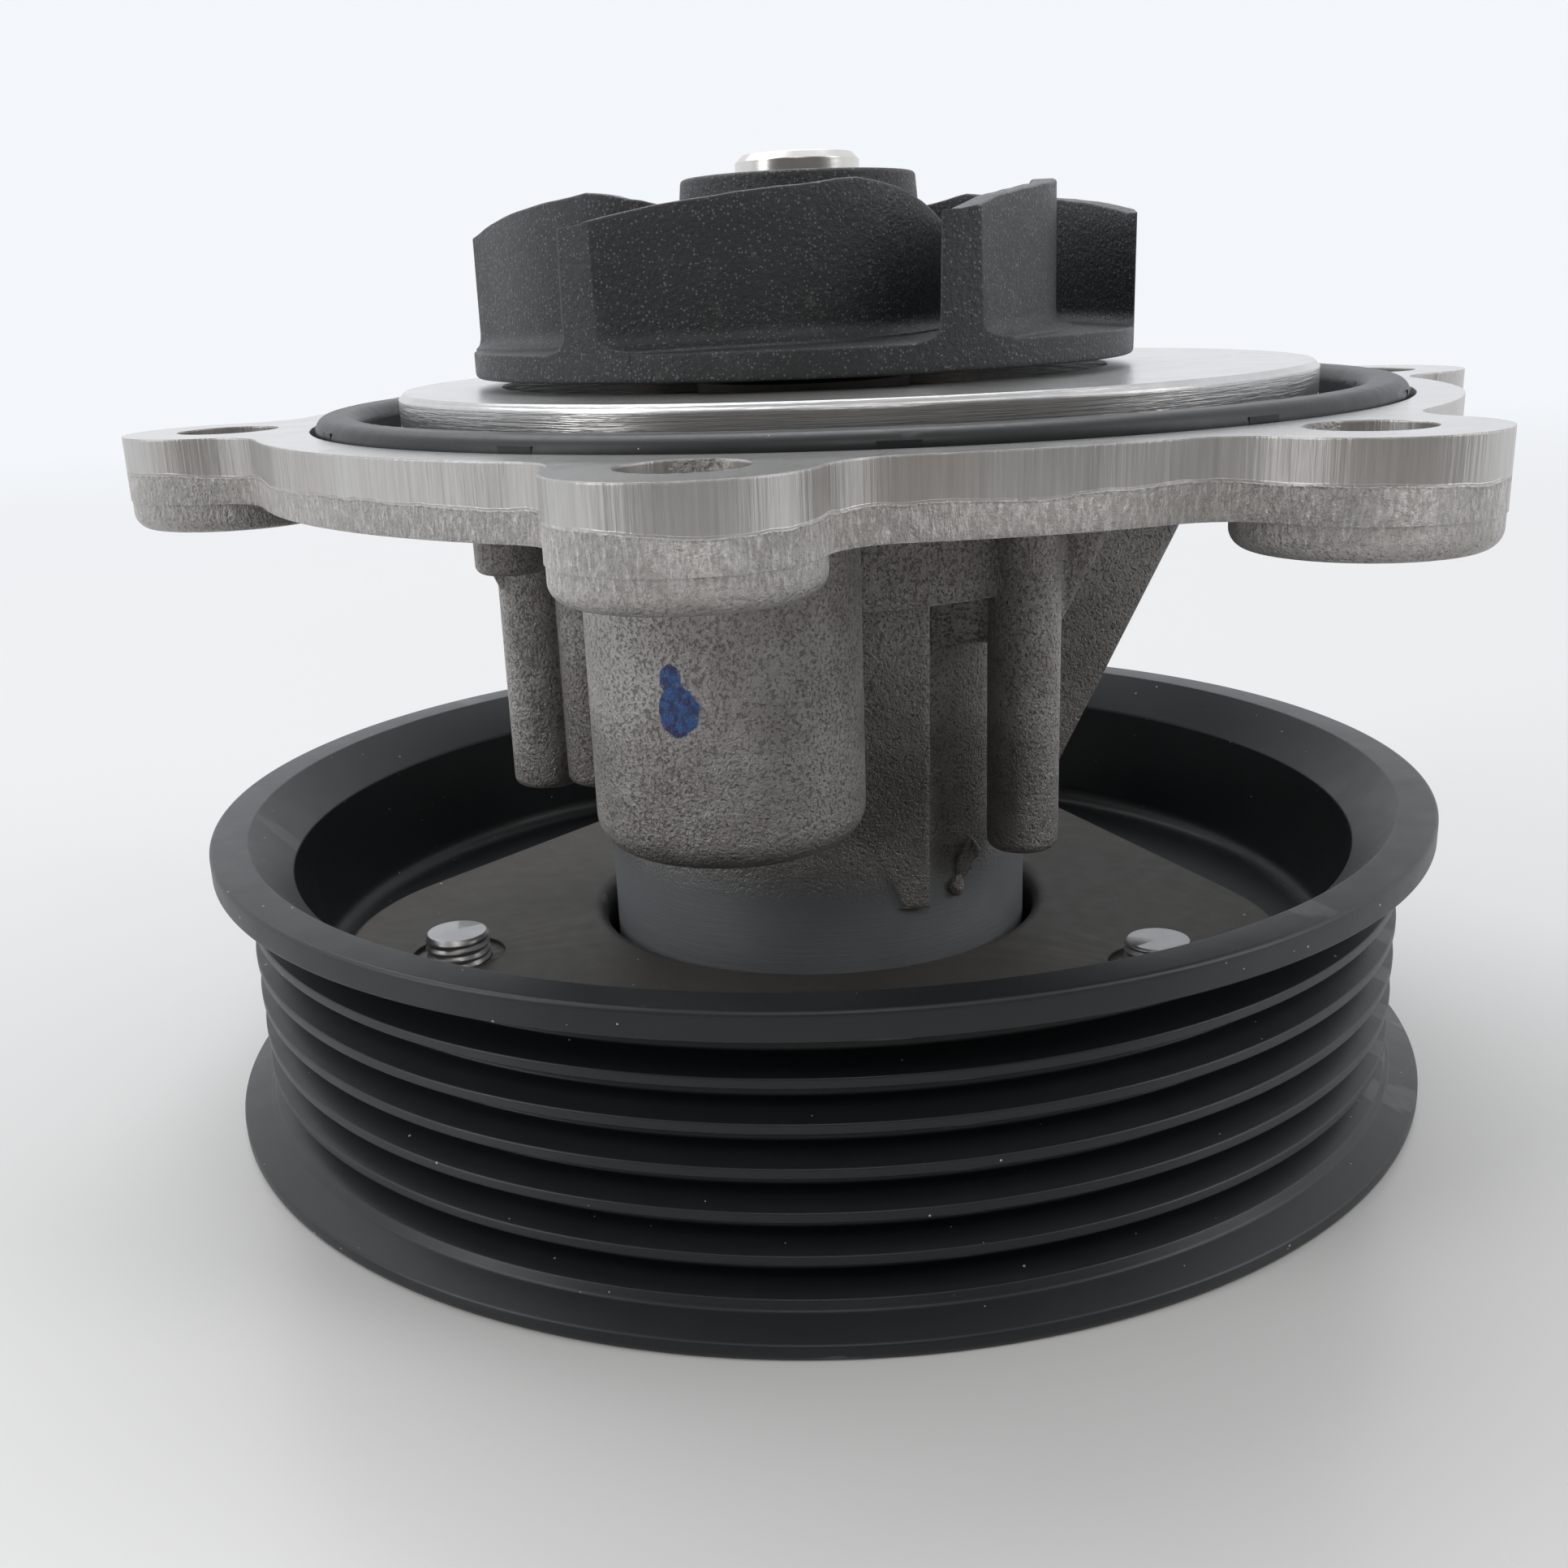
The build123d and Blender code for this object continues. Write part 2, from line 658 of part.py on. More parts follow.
belt_plane = pulley_front + belt_plane_height
groove_top_half = (groove_pitch - crest_width) / 2
groove_root_half = groove_top_half - belt_groove_depth * tan(radians(belt_groove_half_angle))
groove_root_radius = crest_radius - belt_groove_depth
low_groove = belt_plane - groove_pitch * (belt_groove_count - 1) / 2
grooves = []
for number in range(belt_groove_count):
    middle = low_groove + number * groove_pitch
    grooves += [
        (crest_radius, middle - groove_top_half),
        (groove_root_radius, middle - groove_root_half),
        (groove_root_radius, middle + groove_root_half),
        (crest_radius, middle + groove_top_half),
    ]
pulley_top = pulley_front + top_flange_top
with BuildPart() as pulley:
    with BuildSketch(Plane.XZ) as rim_section:
        Polygon(
            (pulley_bore_radius, pulley_front),
            (low_flange_radius - low_flange_chamfer, pulley_front),
            (low_flange_radius, pulley_front + low_flange_chamfer),
            (low_flange_radius, pulley_front + low_flange_height),
            (crest_radius + crest_width / 2, pulley_front + low_flange_foot),
            *grooves,
            (top_flange_radius, pulley_top - top_flange_height),
            (top_flange_radius, pulley_top),
            (top_flange_land, pulley_top),
            (pulley_bore_radius, pulley_top - top_flange_cone_depth),
            align=None,
        )
    revolve(axis=Axis.Z)
    with BuildSketch(Plane.XY.offset(pulley_web_bottom)):
        Circle(pulley_bore_radius)
        Circle(pulley_web_hole_radius, mode=Mode.SUBTRACT)
    extrude(amount=pulley_web_thickness)
    web_corners = pulley.edges().filter_by(GeomType.CIRCLE).filter_by(
        lambda edge: abs(edge.radius - pulley_bore_radius) < 0.001
        and pulley_front + 1 < edge.center().Z < pulley_top - top_flange_cone_depth - 1
    )
    fillet(web_corners, pulley_web_fillet)
    with Locations((0, 0, hub_plate_bottom)):
        with PolarLocations(screw_circle / 2, screw_count, start_angle=screw_first_angle):
            Hole(screw_radius + screw_hole_gap, depth=pulley_web_thickness)
pulley.part.label = "pulley"
export_step(pulley.part, "parts/pulley.step")

# ---- Pulley screws: three alike, in one node -------------------------------------------------------

head_top = pulley_web_bottom
with BuildPart() as pulley_screws:
    with Locations((0, 0, head_top - screw_head_flange_thickness / 2)):
        with PolarLocations(screw_circle / 2, screw_count, start_angle=screw_first_angle):
            Cylinder(screw_head_flange_radius, screw_head_flange_thickness)
    with BuildSketch(Plane.XY.offset(head_top - screw_head_flange_thickness)):
        with PolarLocations(screw_circle / 2, screw_count, start_angle=screw_first_angle):
            RegularPolygon(screw_head_flats / 2, 6, major_radius=False)
    extrude(amount=-screw_head_height)
    with BuildSketch(Plane.XY.offset(head_top)):
        with PolarLocations(screw_circle / 2, screw_count, start_angle=screw_first_angle):
            Circle(screw_radius)
    extrude(amount=hub_plate_top + screw_end_height - head_top)
    chamfer(pulley_screws.faces().group_by(Axis.Z)[-1].edges(), screw_end_chamfer)
pulley_screws.part.label = "pulley_screws"
export_step(pulley_screws.part, "parts/pulley_screws.step")
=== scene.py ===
import math
import random

import bmesh
import bpy
from mathutils import Matrix, Vector


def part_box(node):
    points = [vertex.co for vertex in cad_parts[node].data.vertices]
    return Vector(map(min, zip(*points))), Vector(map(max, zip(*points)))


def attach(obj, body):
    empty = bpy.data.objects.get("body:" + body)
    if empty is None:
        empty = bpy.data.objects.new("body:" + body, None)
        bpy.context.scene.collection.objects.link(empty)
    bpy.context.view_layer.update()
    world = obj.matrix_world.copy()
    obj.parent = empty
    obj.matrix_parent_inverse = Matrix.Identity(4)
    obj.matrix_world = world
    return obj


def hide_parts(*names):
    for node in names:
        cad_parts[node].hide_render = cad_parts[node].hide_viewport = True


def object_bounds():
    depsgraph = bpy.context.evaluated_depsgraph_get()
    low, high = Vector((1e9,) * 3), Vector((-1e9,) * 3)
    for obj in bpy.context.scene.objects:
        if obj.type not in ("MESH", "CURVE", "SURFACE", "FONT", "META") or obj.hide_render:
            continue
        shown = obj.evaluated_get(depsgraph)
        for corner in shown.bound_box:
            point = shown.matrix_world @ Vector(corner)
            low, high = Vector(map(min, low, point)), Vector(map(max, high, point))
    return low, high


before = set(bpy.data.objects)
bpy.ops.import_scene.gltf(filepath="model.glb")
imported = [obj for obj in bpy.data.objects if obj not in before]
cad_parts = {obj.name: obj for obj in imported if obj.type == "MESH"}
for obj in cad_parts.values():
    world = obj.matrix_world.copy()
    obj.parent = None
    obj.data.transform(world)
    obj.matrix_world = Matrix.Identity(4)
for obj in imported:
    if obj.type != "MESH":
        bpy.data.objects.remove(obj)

# Engine coolant pump. The frame is the CAD's: Z is the shaft's axis and z = 0 is the mounting face.
# Shapes are written in millimetres and turned into metres by MM.

MM = 0.001
cad_low, cad_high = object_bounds()

PULLEY_LOW, PULLEY_HIGH = (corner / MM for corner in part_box("pulley"))
FLOOR_LEVEL = cad_low.z
SCREW_CIRCLE = 37.0             # radius of the circle through the pulley screws
SCREW_ANGLES = (-156.5, -36.5, 83.5)


# ---- Mesh helpers ----------------------------------------------------------------------------------

def make_piece(name, vertices, faces, body, material, slot, replaces=(), sharp_angle=32):
    """A mesh object, given in millimetres, that rides on a body and has one material."""
    mesh = bpy.data.meshes.new(name)
    mesh.from_pydata([Vector(v) * MM for v in vertices], [], faces)
    mesh.validate()
    fill = bmesh.new()
    fill.from_mesh(mesh)
    bmesh.ops.recalc_face_normals(fill, faces=fill.faces)
    fill.to_mesh(mesh)
    fill.free()
    mesh.shade_smooth()
    mesh.set_sharp_from_angle(angle=math.radians(sharp_angle))
    piece = bpy.data.objects.new(name, mesh)
    bpy.context.scene.collection.objects.link(piece)
    mesh.materials.append(material)
    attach(piece, body)
    if replaces:
        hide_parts(*replaces)
    return piece


def rounded(corners, steps=4):
    """A closed outline of (across, up, rounding) corners, with each corner turned into an arc."""
    outline = []
    count = len(corners)
    for index, (x, y, radius) in enumerate(corners):
        here = Vector((x, y))
        if radius <= 0:
            outline.append(here)
            continue
        before = (Vector(corners[index - 1][:2]) - here)
        after = (Vector(corners[(index + 1) % count][:2]) - here)
        half = before.angle(after) / 2
        reach = min(radius / math.tan(half), 0.49 * before.length, 0.49 * after.length)
        start = here + before.normalized() * reach
        end = here + after.normalized() * reach
        for step in range(steps + 1):
            t = step / steps
            outline.append(start * (1 - t) ** 2 + here * 2 * t * (1 - t) + end * t ** 2)
    return outline


def lathe(outline, segments=256, centre=(0, 0)):
    """Vertices and faces of a closed outline of (radius, height) points turned about a vertical axis."""
    count = len(outline)
    vertices = []
    for turn in range(segments):
        angle = 2 * math.pi * turn / segments
        for radius, height in outline:
            vertices.append(
                (centre[0] + radius * math.cos(angle), centre[1] + radius * math.sin(angle), height)
            )
    faces = []
    for turn in range(segments):
        here, there = turn * count, (turn + 1) % segments * count
        for index in range(count):
            following = (index + 1) % count
            faces.append((here + index, here + following, there + following, there + index))
    return vertices, faces


def turned_solid(outline, segments=128):
    """Like lathe, for an open outline whose first and last points lie on the axis."""
    inner = outline[1:-1]
    count = len(inner)
    vertices = [(0, 0, outline[0][1]), (0, 0, outline[-1][1])]
    for turn in range(segments):
        angle = 2 * math.pi * turn / segments
        vertices += [(r * math.cos(angle), r * math.sin(angle), z) for r, z in inner]
    faces = []
    for turn in range(segments):
        here, there = 2 + turn * count, 2 + (turn + 1) % segments * count
        faces.append((0, there, here))
        faces.append((1, here + count - 1, there + count - 1))
        for index in range(count - 1):
            faces.append((here + index, here + index + 1, there + index + 1, there + index))
    return vertices, faces


def joined(*shapes):
    """Several (vertices, faces) shapes as one."""
    vertices, faces = [], []
    for more_vertices, more_faces in shapes:
        start = len(vertices)
        vertices += more_vertices
        faces += [tuple(start + corner for corner in face) for face in more_faces]
    return vertices, faces


# ---- Material helpers ------------------------------------------------------------------------------

class Surface:
    """Builds one procedural material. Its coordinates are millimetres in the piece's own frame."""

    def __init__(self, name, **constants):
        self.material = bpy.data.materials.new(name)
        self.material.use_nodes = True
        self.nodes = self.material.node_tree.nodes
        self.links = self.material.node_tree.links
        self.shader = self.nodes["Principled BSDF"]
        for socket, value in constants.items():
            self.shader.inputs[socket.replace("_", " ")].default_value = value
        self.place = self.nodes.new("ShaderNodeTexCoord")
        scale = self.nodes.new("ShaderNodeMapping")
        scale.inputs["Scale"].default_value = (1 / MM,) * 3
        self.links.new(self.place.outputs["Object"], scale.inputs["Vector"])
        self.mm = scale.outputs["Vector"]

    def _feed(self, socket, value):
        if isinstance(value, (int, float, tuple)):
            socket.default_value = value
        else:
            self.links.new(value, socket)

    def math(self, operation, a, b=0.0, c=0.0):
        node = self.nodes.new("ShaderNodeMath")
        node.operation = operation
        for socket, value in zip(node.inputs, (a, b, c)):
            self._feed(socket, value)
        return node.outputs[0]

    def stretched(self, x=1.0, y=1.0, z=1.0, offset=(0, 0, 0)):
        node = self.nodes.new("ShaderNodeMapping")
        node.inputs["Scale"].default_value = (x, y, z)
        node.inputs["Location"].default_value = offset
        self.links.new(self.mm, node.inputs["Vector"])
        return node.outputs[0]

    def noise(self, scale, detail=2.0, roughness=0.5, vector=None, distortion=0.0):
        node = self.nodes.new("ShaderNodeTexNoise")
        node.inputs["Scale"].default_value = scale
        node.inputs["Detail"].default_value = detail
        node.inputs["Roughness"].default_value = roughness
        node.inputs["Distortion"].default_value = distortion
        self.links.new(vector or self.mm, node.inputs["Vector"])
        return node.outputs[0]

    def cells(self, scale, vector=None, feature="F1"):
        node = self.nodes.new("ShaderNodeTexVoronoi")
        node.feature = feature
        node.inputs["Scale"].default_value = scale
        self.links.new(vector or self.mm, node.inputs["Vector"])
        return node

    def parts(self):
        node = self.nodes.new("ShaderNodeSeparateXYZ")
        self.links.new(self.mm, node.inputs[0])
        return node.outputs

    def facing(self):
        """The piece's own normal, as X, Y and Z."""
        node = self.nodes.new("ShaderNodeSeparateXYZ")
        self.links.new(self.place.outputs["Normal"], node.inputs[0])
        return node.outputs

    def step(self, value, low, high):
        """0 below low, 1 above high, smooth between."""
        node = self.nodes.new("ShaderNodeMapRange")
        node.interpolation_type = "SMOOTHSTEP"
        self._feed(node.inputs["Value"], value)
        node.inputs["From Min"].default_value = low
        node.inputs["From Max"].default_value = high
        return node.outputs[0]

    def level(self, value, low, high):
        """Maps 0..1 to low..high."""
        return self.math("MULTIPLY_ADD", value, high - low, low)

    def mix(self, factor, a, b):
        node = self.nodes.new("ShaderNodeMix")
        node.data_type = "RGBA"
        self._feed(node.inputs[0], factor)
        self._feed(node.inputs[6], a)
        self._feed(node.inputs[7], b)
        return node.outputs[2]

    def radius_about(self, x, y):
        """Distance from a vertical axis through (x, y)."""
        px, py, _ = self.parts()
        dx = self.math("SUBTRACT", px, x)
        dy = self.math("SUBTRACT", py, y)
        square = self.math("ADD", self.math("MULTIPLY", dx, dx), self.math("MULTIPLY", dy, dy))
        return self.math("SQRT", square)

    def specks(self, scale, size, share):
        """A mask of small dots: one cell in so many has a dot."""
        cell = self.cells(scale)
        near = self.math("LESS_THAN", cell.outputs["Distance"], size)
        split = self.nodes.new("ShaderNodeSeparateColor")
        self.links.new(cell.outputs["Color"], split.inputs[0])
        chosen = self.math("LESS_THAN", split.outputs[0], share)
        return self.math("MULTIPLY", near, chosen)

    def worn_edges(self, low=0.52, high=0.58):
        """A mask of the mesh's convex edges."""
        node = self.nodes.new("ShaderNodeNewGeometry")
        return self.step(node.outputs["Pointiness"], low, high)

    def edges(self, radius, low=0.02, high=0.22):
        """A mask of every edge, as wide as a rounding of a radius in millimetres."""
        shape = self.nodes.new("ShaderNodeNewGeometry")
        turn = self.nodes.new("ShaderNodeVectorMath")
        turn.operation = "DOT_PRODUCT"
        self.links.new(self.soft_edges(radius), turn.inputs[0])
        self.links.new(shape.outputs["Normal"], turn.inputs[1])
        return self.step(self.math("SUBTRACT", 1.0, turn.outputs["Value"]), low, high)

    def soft_edges(self, radius):
        """Normals that round every edge by a radius in millimetres."""
        node = self.nodes.new("ShaderNodeBevel")
        node.samples = 4
        node.inputs["Radius"].default_value = radius * MM
        return node.outputs[0]

    def bump(self, height, depth, normal=None):
        """Relief of a depth in millimetres, over an optional normal."""
        node = self.nodes.new("ShaderNodeBump")
        node.inputs["Strength"].default_value = 1.0
        node.inputs["Distance"].default_value = depth * MM
        self._feed(node.inputs["Height"], height)
        if normal is not None:
            self.links.new(normal, node.inputs["Normal"])
        return node.outputs[0]

    def finish(self, colour=None, roughness=None, normal=None, metallic=None):
        for socket, value in (
            ("Base Color", colour), ("Roughness", roughness), ("Normal", normal), ("Metallic", metallic)
        ):
            if value is not None:
                self._feed(self.shader.inputs[socket], value)
        return self.material


def grey(value, warmth=0.0):
    """An opaque near-grey colour; warmth above 0 leans to brown and below 0 to blue."""
    return (value * (1 + warmth), value, value * (1 - warmth), 1.0)


# ---- Materials -------------------------------------------------------------------------------------

def cast_aluminium():
    """Die cast alloy: pitted skin, filed flange edges, a machined face and a smooth machined neck whose
    colour is darker and bluish with painted shade.
    """
    s = Surface("cast_aluminium", Specular_IOR_Level=0.5)
    x, y, z = s.parts()
    facing_up = s.step(s.facing()[2], 0.90, 0.97)
    flat_top = s.math("MULTIPLY", s.step(z, -3.6, -3.2), facing_up)
    near_face = s.math("MAXIMUM", flat_top, s.step(z, 0.02, 0.06))
    neck = s.math("MULTIPLY", s.step(s.radius_about(0, 0), 20.75, 20.5), s.step(z, -37.0, -43.0))
    rim = s.step(s.radius_about(4, 0), 51.6, 52.4)
    drift = s.math("MULTIPLY", s.math("SUBTRACT", s.noise(0.10, detail=3.0), 0.5), 1.8)
    level = s.math("ADD", z, drift)
    rim_wall = s.math("MULTIPLY", rim, s.math("SUBTRACT", 1.0, facing_up))
    trimmed = s.math("MULTIPLY", rim_wall, s.step(level, -3.3, -2.9))
    lower_band = s.math("MULTIPLY", s.step(level, -3.0, -3.4), s.step(z, -8.5, -5.0))
    torn = s.math("MULTIPLY", rim_wall, lower_band)
    machined = s.math("MAXIMUM", near_face, neck)
    skin_share = s.math("SUBTRACT", 1.0, s.math("MAXIMUM", machined, trimmed))

    # The cast skin: a dense grain of dark pits and bright crests under broad stains.
    grain = s.noise(3.4, detail=4.0, roughness=0.66)
    coarse = s.noise(1.3, detail=3.0, roughness=0.6)
    pits = s.step(s.noise(3.2, detail=3.0, roughness=0.62), 0.50, 0.66)
    glints = s.step(s.noise(5.2, detail=2.0, roughness=0.6), 0.58, 0.70)
    stains = s.step(s.noise(0.06, detail=6.0, roughness=0.66), 0.34, 0.66)
    skin = s.mix(stains, grey(0.290, 0.060), grey(0.500, 0.035))
    skin = s.mix(s.math("MULTIPLY", pits, 0.50), skin, grey(0.110, 0.08))
    skin = s.mix(s.math("MULTIPLY", glints, 0.45), skin, grey(0.66, 0.03))
    # The machined neck's own tone, painted darker and bluish than the skin as shade.
    neck_tone_and_painted_shade = s.mix(s.noise(0.10, detail=5.0, roughness=0.6), grey(0.215, -0.07), grey(0.330, -0.05))
    bright = s.mix(s.noise(0.25, detail=4.0, roughness=0.6), grey(0.46, 0.02), grey(0.68, 0.01))
    filed = s.noise(1.0, detail=3.0, roughness=0.6, vector=s.stretched(2.6, 2.6, 0.10))
    broad = s.noise(1.0, detail=3.0, vector=s.stretched(0.07, 0.07, 0.02))
    trimmed_colour = s.mix(filed, grey(0.42, 0.04), grey(0.62, 0.02))
    tarnish = s.math("MULTIPLY", s.step(broad, 0.50, 0.72), 0.45)
    trimmed_colour = s.mix(tarnish, trimmed_colour, (0.36, 0.315, 0.28, 1))
    shade = s.math("MULTIPLY", s.step(broad, 0.46, 0.30), 0.55)
    trimmed_colour = s.mix(shade, trimmed_colour, grey(0.27, 0.01))
    torn_grain = s.noise(1.0, detail=4.0, roughness=0.7, vector=s.stretched(3.2, 3.2, 0.9))
    flakes = s.step(torn_grain, 0.36, 0.66)
    torn_colour = s.mix(flakes, grey(0.42, 0.04), grey(0.70, 0.03))
    colour = s.mix(neck, skin, neck_tone_and_painted_shade)
    colour = s.mix(near_face, colour, bright)
    colour = s.mix(trimmed, colour, trimmed_colour)
    colour = s.mix(s.math("MULTIPLY", torn, 0.8), colour, torn_colour)
    rubbed = s.math("MULTIPLY", s.edges(0.35), s.step(s.noise(0.9, detail=3.0), 0.36, 0.62))
    colour = s.mix(s.math("MULTIPLY", rubbed, 0.6), colour, grey(0.72, 0.02))

    # A dab of blue inspection paint on the front boss: a fat lobe with a narrow one above it.
    wobble = s.math("MULTIPLY", s.math("SUBTRACT", s.noise(0.9, detail=3.0), 0.5), 1.5)
    lobes = []
    for middle, low_x, tall, wide in ((-19.0, -9.95, 1.95, 1.55), (-16.7, -10.45, 1.25, 0.80)):
        across = s.math("DIVIDE", s.math("SUBTRACT", x, low_x), wide)
        up = s.math("DIVIDE", s.math("SUBTRACT", z, middle), tall)
        lobes.append(s.math("ADD", s.math("MULTIPLY", across, across), s.math("MULTIPLY", up, up)))
    far = s.math("ADD", s.math("MINIMUM", *lobes), s.math("MULTIPLY", wobble, 0.7))
    dab = s.math("MULTIPLY", s.step(far, 1.05, 0.88), s.step(y, -36.0, -37.0))
    brush = s.step(s.noise(1.5, detail=3.0), 0.4, 0.6)
    blue = s.mix(brush, (0.006, 0.030, 0.16, 1), (0.02, 0.11, 0.36, 1))
    colour = s.mix(s.math("MULTIPLY", dab, s.level(pits, 0.95, 0.55)), colour, blue)

    rough = s.level(grain, 0.34, 0.56)
    rough = s.math("ADD", s.math("MULTIPLY", rough, skin_share), s.math("MULTIPLY", near_face, 0.24))
    rough = s.math("ADD", rough, s.math("MULTIPLY", trimmed, s.level(filed, 0.24, 0.44)))
    rough = s.math("ADD", rough, s.math("MULTIPLY", neck, 0.44))
    bare = s.math("SUBTRACT", 1.0, dab)
    metallic = s.math("MULTIPLY", bare, s.math("MULTIPLY_ADD", neck, -0.60, 0.88))

    # Relief: pitted skin, file marks, torn flash, turning marks and the mould's parting line.
    skin_relief = s.math("ADD", s.math("MULTIPLY", grain, 1.3), s.math("MULTIPLY", coarse, 0.9))
    skin_relief = s.math("SUBTRACT", skin_relief, s.math("MULTIPLY", pits, 0.55))
    height = s.math("MULTIPLY", skin_relief, skin_share)
    height = s.math("ADD", height, s.math("MULTIPLY", s.math("MULTIPLY", filed, trimmed), 0.55))
    height = s.math("ADD", height, s.math("MULTIPLY", s.math("MULTIPLY", flakes, torn), 0.8))
    seam_gap = s.math("ABSOLUTE", s.math("ADD", level, 3.1))
    seam = s.math("MULTIPLY", s.step(seam_gap, 0.20, 0.02), rim_wall)
    height = s.math("ADD", height, s.math("MULTIPLY", seam, 0.7))
    turned = s.noise(1.0, detail=3.0, roughness=0.7, vector=s.stretched(0.15, 0.15, 5.0))
    height = s.math("ADD", height, s.math("MULTIPLY", s.math("MULTIPLY", turned, machined), 0.20))
    rings = s.math("SINE", s.math("MULTIPLY", s.radius_about(4.5, 0), 22.0))
    height = s.math("ADD", height, s.math("MULTIPLY", s.math("MULTIPLY", rings, near_face), 0.03))
    # Moulded edges and inner corners are soft; machined ones are crisp.
    soft = s.nodes.new("ShaderNodeMix")
    soft.data_type = "VECTOR"
    cast_edges = s.math("MULTIPLY", s.step(z, -1.0, -2.5), s.step(z, -56.0, -53.0))
    s.links.new(cast_edges, soft.inputs[0])
    s.links.new(s.soft_edges(0.25), soft.inputs[4])
    s.links.new(s.soft_edges(1.0), soft.inputs[5])
    normal = s.bump(height, 0.17, soft.outputs[1])
    return s.finish(colour, rough, normal, metallic)


def pulley_coating():
    """Satin black coating on turned steel, with a painted bluish sheen in its colour, faint turning
    lines, dust and rubbed edges.
    """
    s = Surface(
        "pulley_coating", Metallic=0.0, Specular_IOR_Level=0.42, Coat_Weight=0.08, Coat_Roughness=0.30
    )
    cloud = s.noise(0.05, detail=4.0, roughness=0.6)
    # The coating's own black, leaned to blue as a painted sheen.
    colour = s.mix(cloud, grey(0.007, -0.22), grey(0.015, -0.18))
    wear = s.math("MULTIPLY", s.worn_edges(0.515, 0.56), s.level(s.noise(0.8, detail=3.0), 0.2, 1.0))
    colour = s.mix(s.math("MULTIPLY", wear, 0.55), colour, grey(0.13, -0.04))
    dust = s.math("MAXIMUM", s.specks(0.42, 0.045, 0.35), s.specks(0.9, 0.05, 0.10))
    colour = s.mix(dust, colour, grey(0.42, 0.03))
    rough = s.level(s.noise(0.3, detail=4.0, roughness=0.65), 0.34, 0.50)
    turning = s.noise(1.0, detail=2.0, roughness=0.6, vector=s.stretched(0.05, 0.05, 5.0))
    grain = s.noise(5.0, detail=2.0)
    height = s.math("ADD", s.math("MULTIPLY", turning, 0.6), s.math("MULTIPLY", grain, 0.5))
    return s.finish(colour, rough, s.bump(height, 0.012))


def hub_steel():
    """Dark phosphated pressing, matt and a little brown, with dust lying on its flat."""
    s = Surface("hub_steel", Metallic=0.35, Specular_IOR_Level=0.45)
    cloud = s.noise(0.06, detail=5.0, roughness=0.62)
    colour = s.mix(cloud, grey(0.052, 0.05), grey(0.105, 0.11))
    colour = s.mix(s.math("MULTIPLY", s.noise(3.0, detail=2.0), 0.30), colour, grey(0.03, 0.0))
    wear = s.math("MULTIPLY", s.worn_edges(), 0.5)
    colour = s.mix(wear, colour, grey(0.22, 0.03))
    dust = s.math("MAXIMUM", s.specks(0.35, 0.05, 0.30), s.specks(1.0, 0.06, 0.07))
    colour = s.mix(dust, colour, grey(0.50, 0.04))
    rough = s.level(s.noise(0.5, detail=4.0), 0.46, 0.66)
    return s.finish(colour, rough, s.bump(s.noise(3.4, detail=3.0), 0.02, s.soft_edges(0.3)))


def impeller_plastic():
    """Glass-filled moulded plastic: dark, with a fine sparkle, paler scuffs and rubbed edges."""
    s = Surface("impeller_plastic", Specular_IOR_Level=0.5)
    cloud = s.noise(0.14, detail=4.0, roughness=0.65)
    colour = s.mix(cloud, grey(0.014, -0.14), grey(0.036, -0.08))
    fibres = s.math("MAXIMUM", s.specks(2.6, 0.24, 0.40), s.specks(4.1, 0.30, 0.30))
    colour = s.mix(s.math("MULTIPLY", fibres, 0.6), colour, grey(0.20, -0.04))
    scuffs = s.step(s.noise(0.5, detail=5.0, roughness=0.7), 0.56, 0.75)
    colour = s.mix(s.math("MULTIPLY", scuffs, 0.22), colour, grey(0.16, 0.02))
    wear = s.math("MULTIPLY", s.edges(0.30, 0.03, 0.30), s.level(s.noise(1.4, detail=3.0), 0.1, 1.1))
    colour = s.mix(wear, colour, grey(0.19, 0.02))
    rough = s.level(s.noise(1.2, detail=4.0), 0.36, 0.58)
    rough = s.math("SUBTRACT", rough, s.math("MULTIPLY", fibres, 0.16))
    height = s.math("ADD", s.noise(2.6, detail=4.0, roughness=0.65), s.math("MULTIPLY", fibres, 0.3))
    return s.finish(colour, rough, s.bump(height, 0.16, s.soft_edges(0.2)))


def bright_steel(name, tone, low, high, scratch=0.5, warmth=0.02):
    """Ground or plated steel with fine scratches along its turning direction."""
    s = Surface(name, Metallic=1.0)
    colour = s.mix(s.noise(0.35, detail=4.0), grey(tone * 0.72, warmth), grey(tone, warmth * 0.6))
    stain = s.step(s.noise(1.3, detail=4.0, roughness=0.7), 0.60, 0.80)
    colour = s.mix(s.math("MULTIPLY", stain, 0.45), colour, grey(tone * 0.35, 0.08))
    rough = s.level(s.noise(1.0, detail=4.0, roughness=0.7), low, high)
    lines = s.noise(1.0, detail=3.0, roughness=0.7, vector=s.stretched(0.4, 0.4, 9.0))
    return s.finish(colour, rough, s.bump(lines, 0.012 * scratch, s.soft_edges(0.12)))


def moulded_rubber(name, tone, low, high):
    """Smooth moulded rubber with a faint bloom."""
    s = Surface(name, Specular_IOR_Level=0.4)
    colour = s.mix(s.noise(0.3, detail=3.0), grey(tone, -0.1), grey(tone * 2.1, -0.08))
    dust = s.specks(0.8, 0.05, 0.2)
    colour = s.mix(dust, colour, grey(0.3, 0.02))
    rough = s.level(s.noise(0.8, detail=3.0), low, high)
    return s.finish(colour, rough, s.bump(s.noise(2.5, detail=2.0), 0.015))


def plain_mottled(name, low_colour, high_colour, low_rough, high_rough, metallic=0.0, relief=0.01):
    """For the hidden pieces: a mottled colour, uneven gloss and a fine relief."""
    s = Surface(name, Metallic=metallic)
    colour = s.mix(s.noise(0.7, detail=4.0), low_colour, high_colour)
    rough = s.level(s.noise(1.4, detail=3.0), low_rough, high_rough)
    return s.finish(colour, rough, s.bump(s.noise(4.0, detail=2.0), relief))


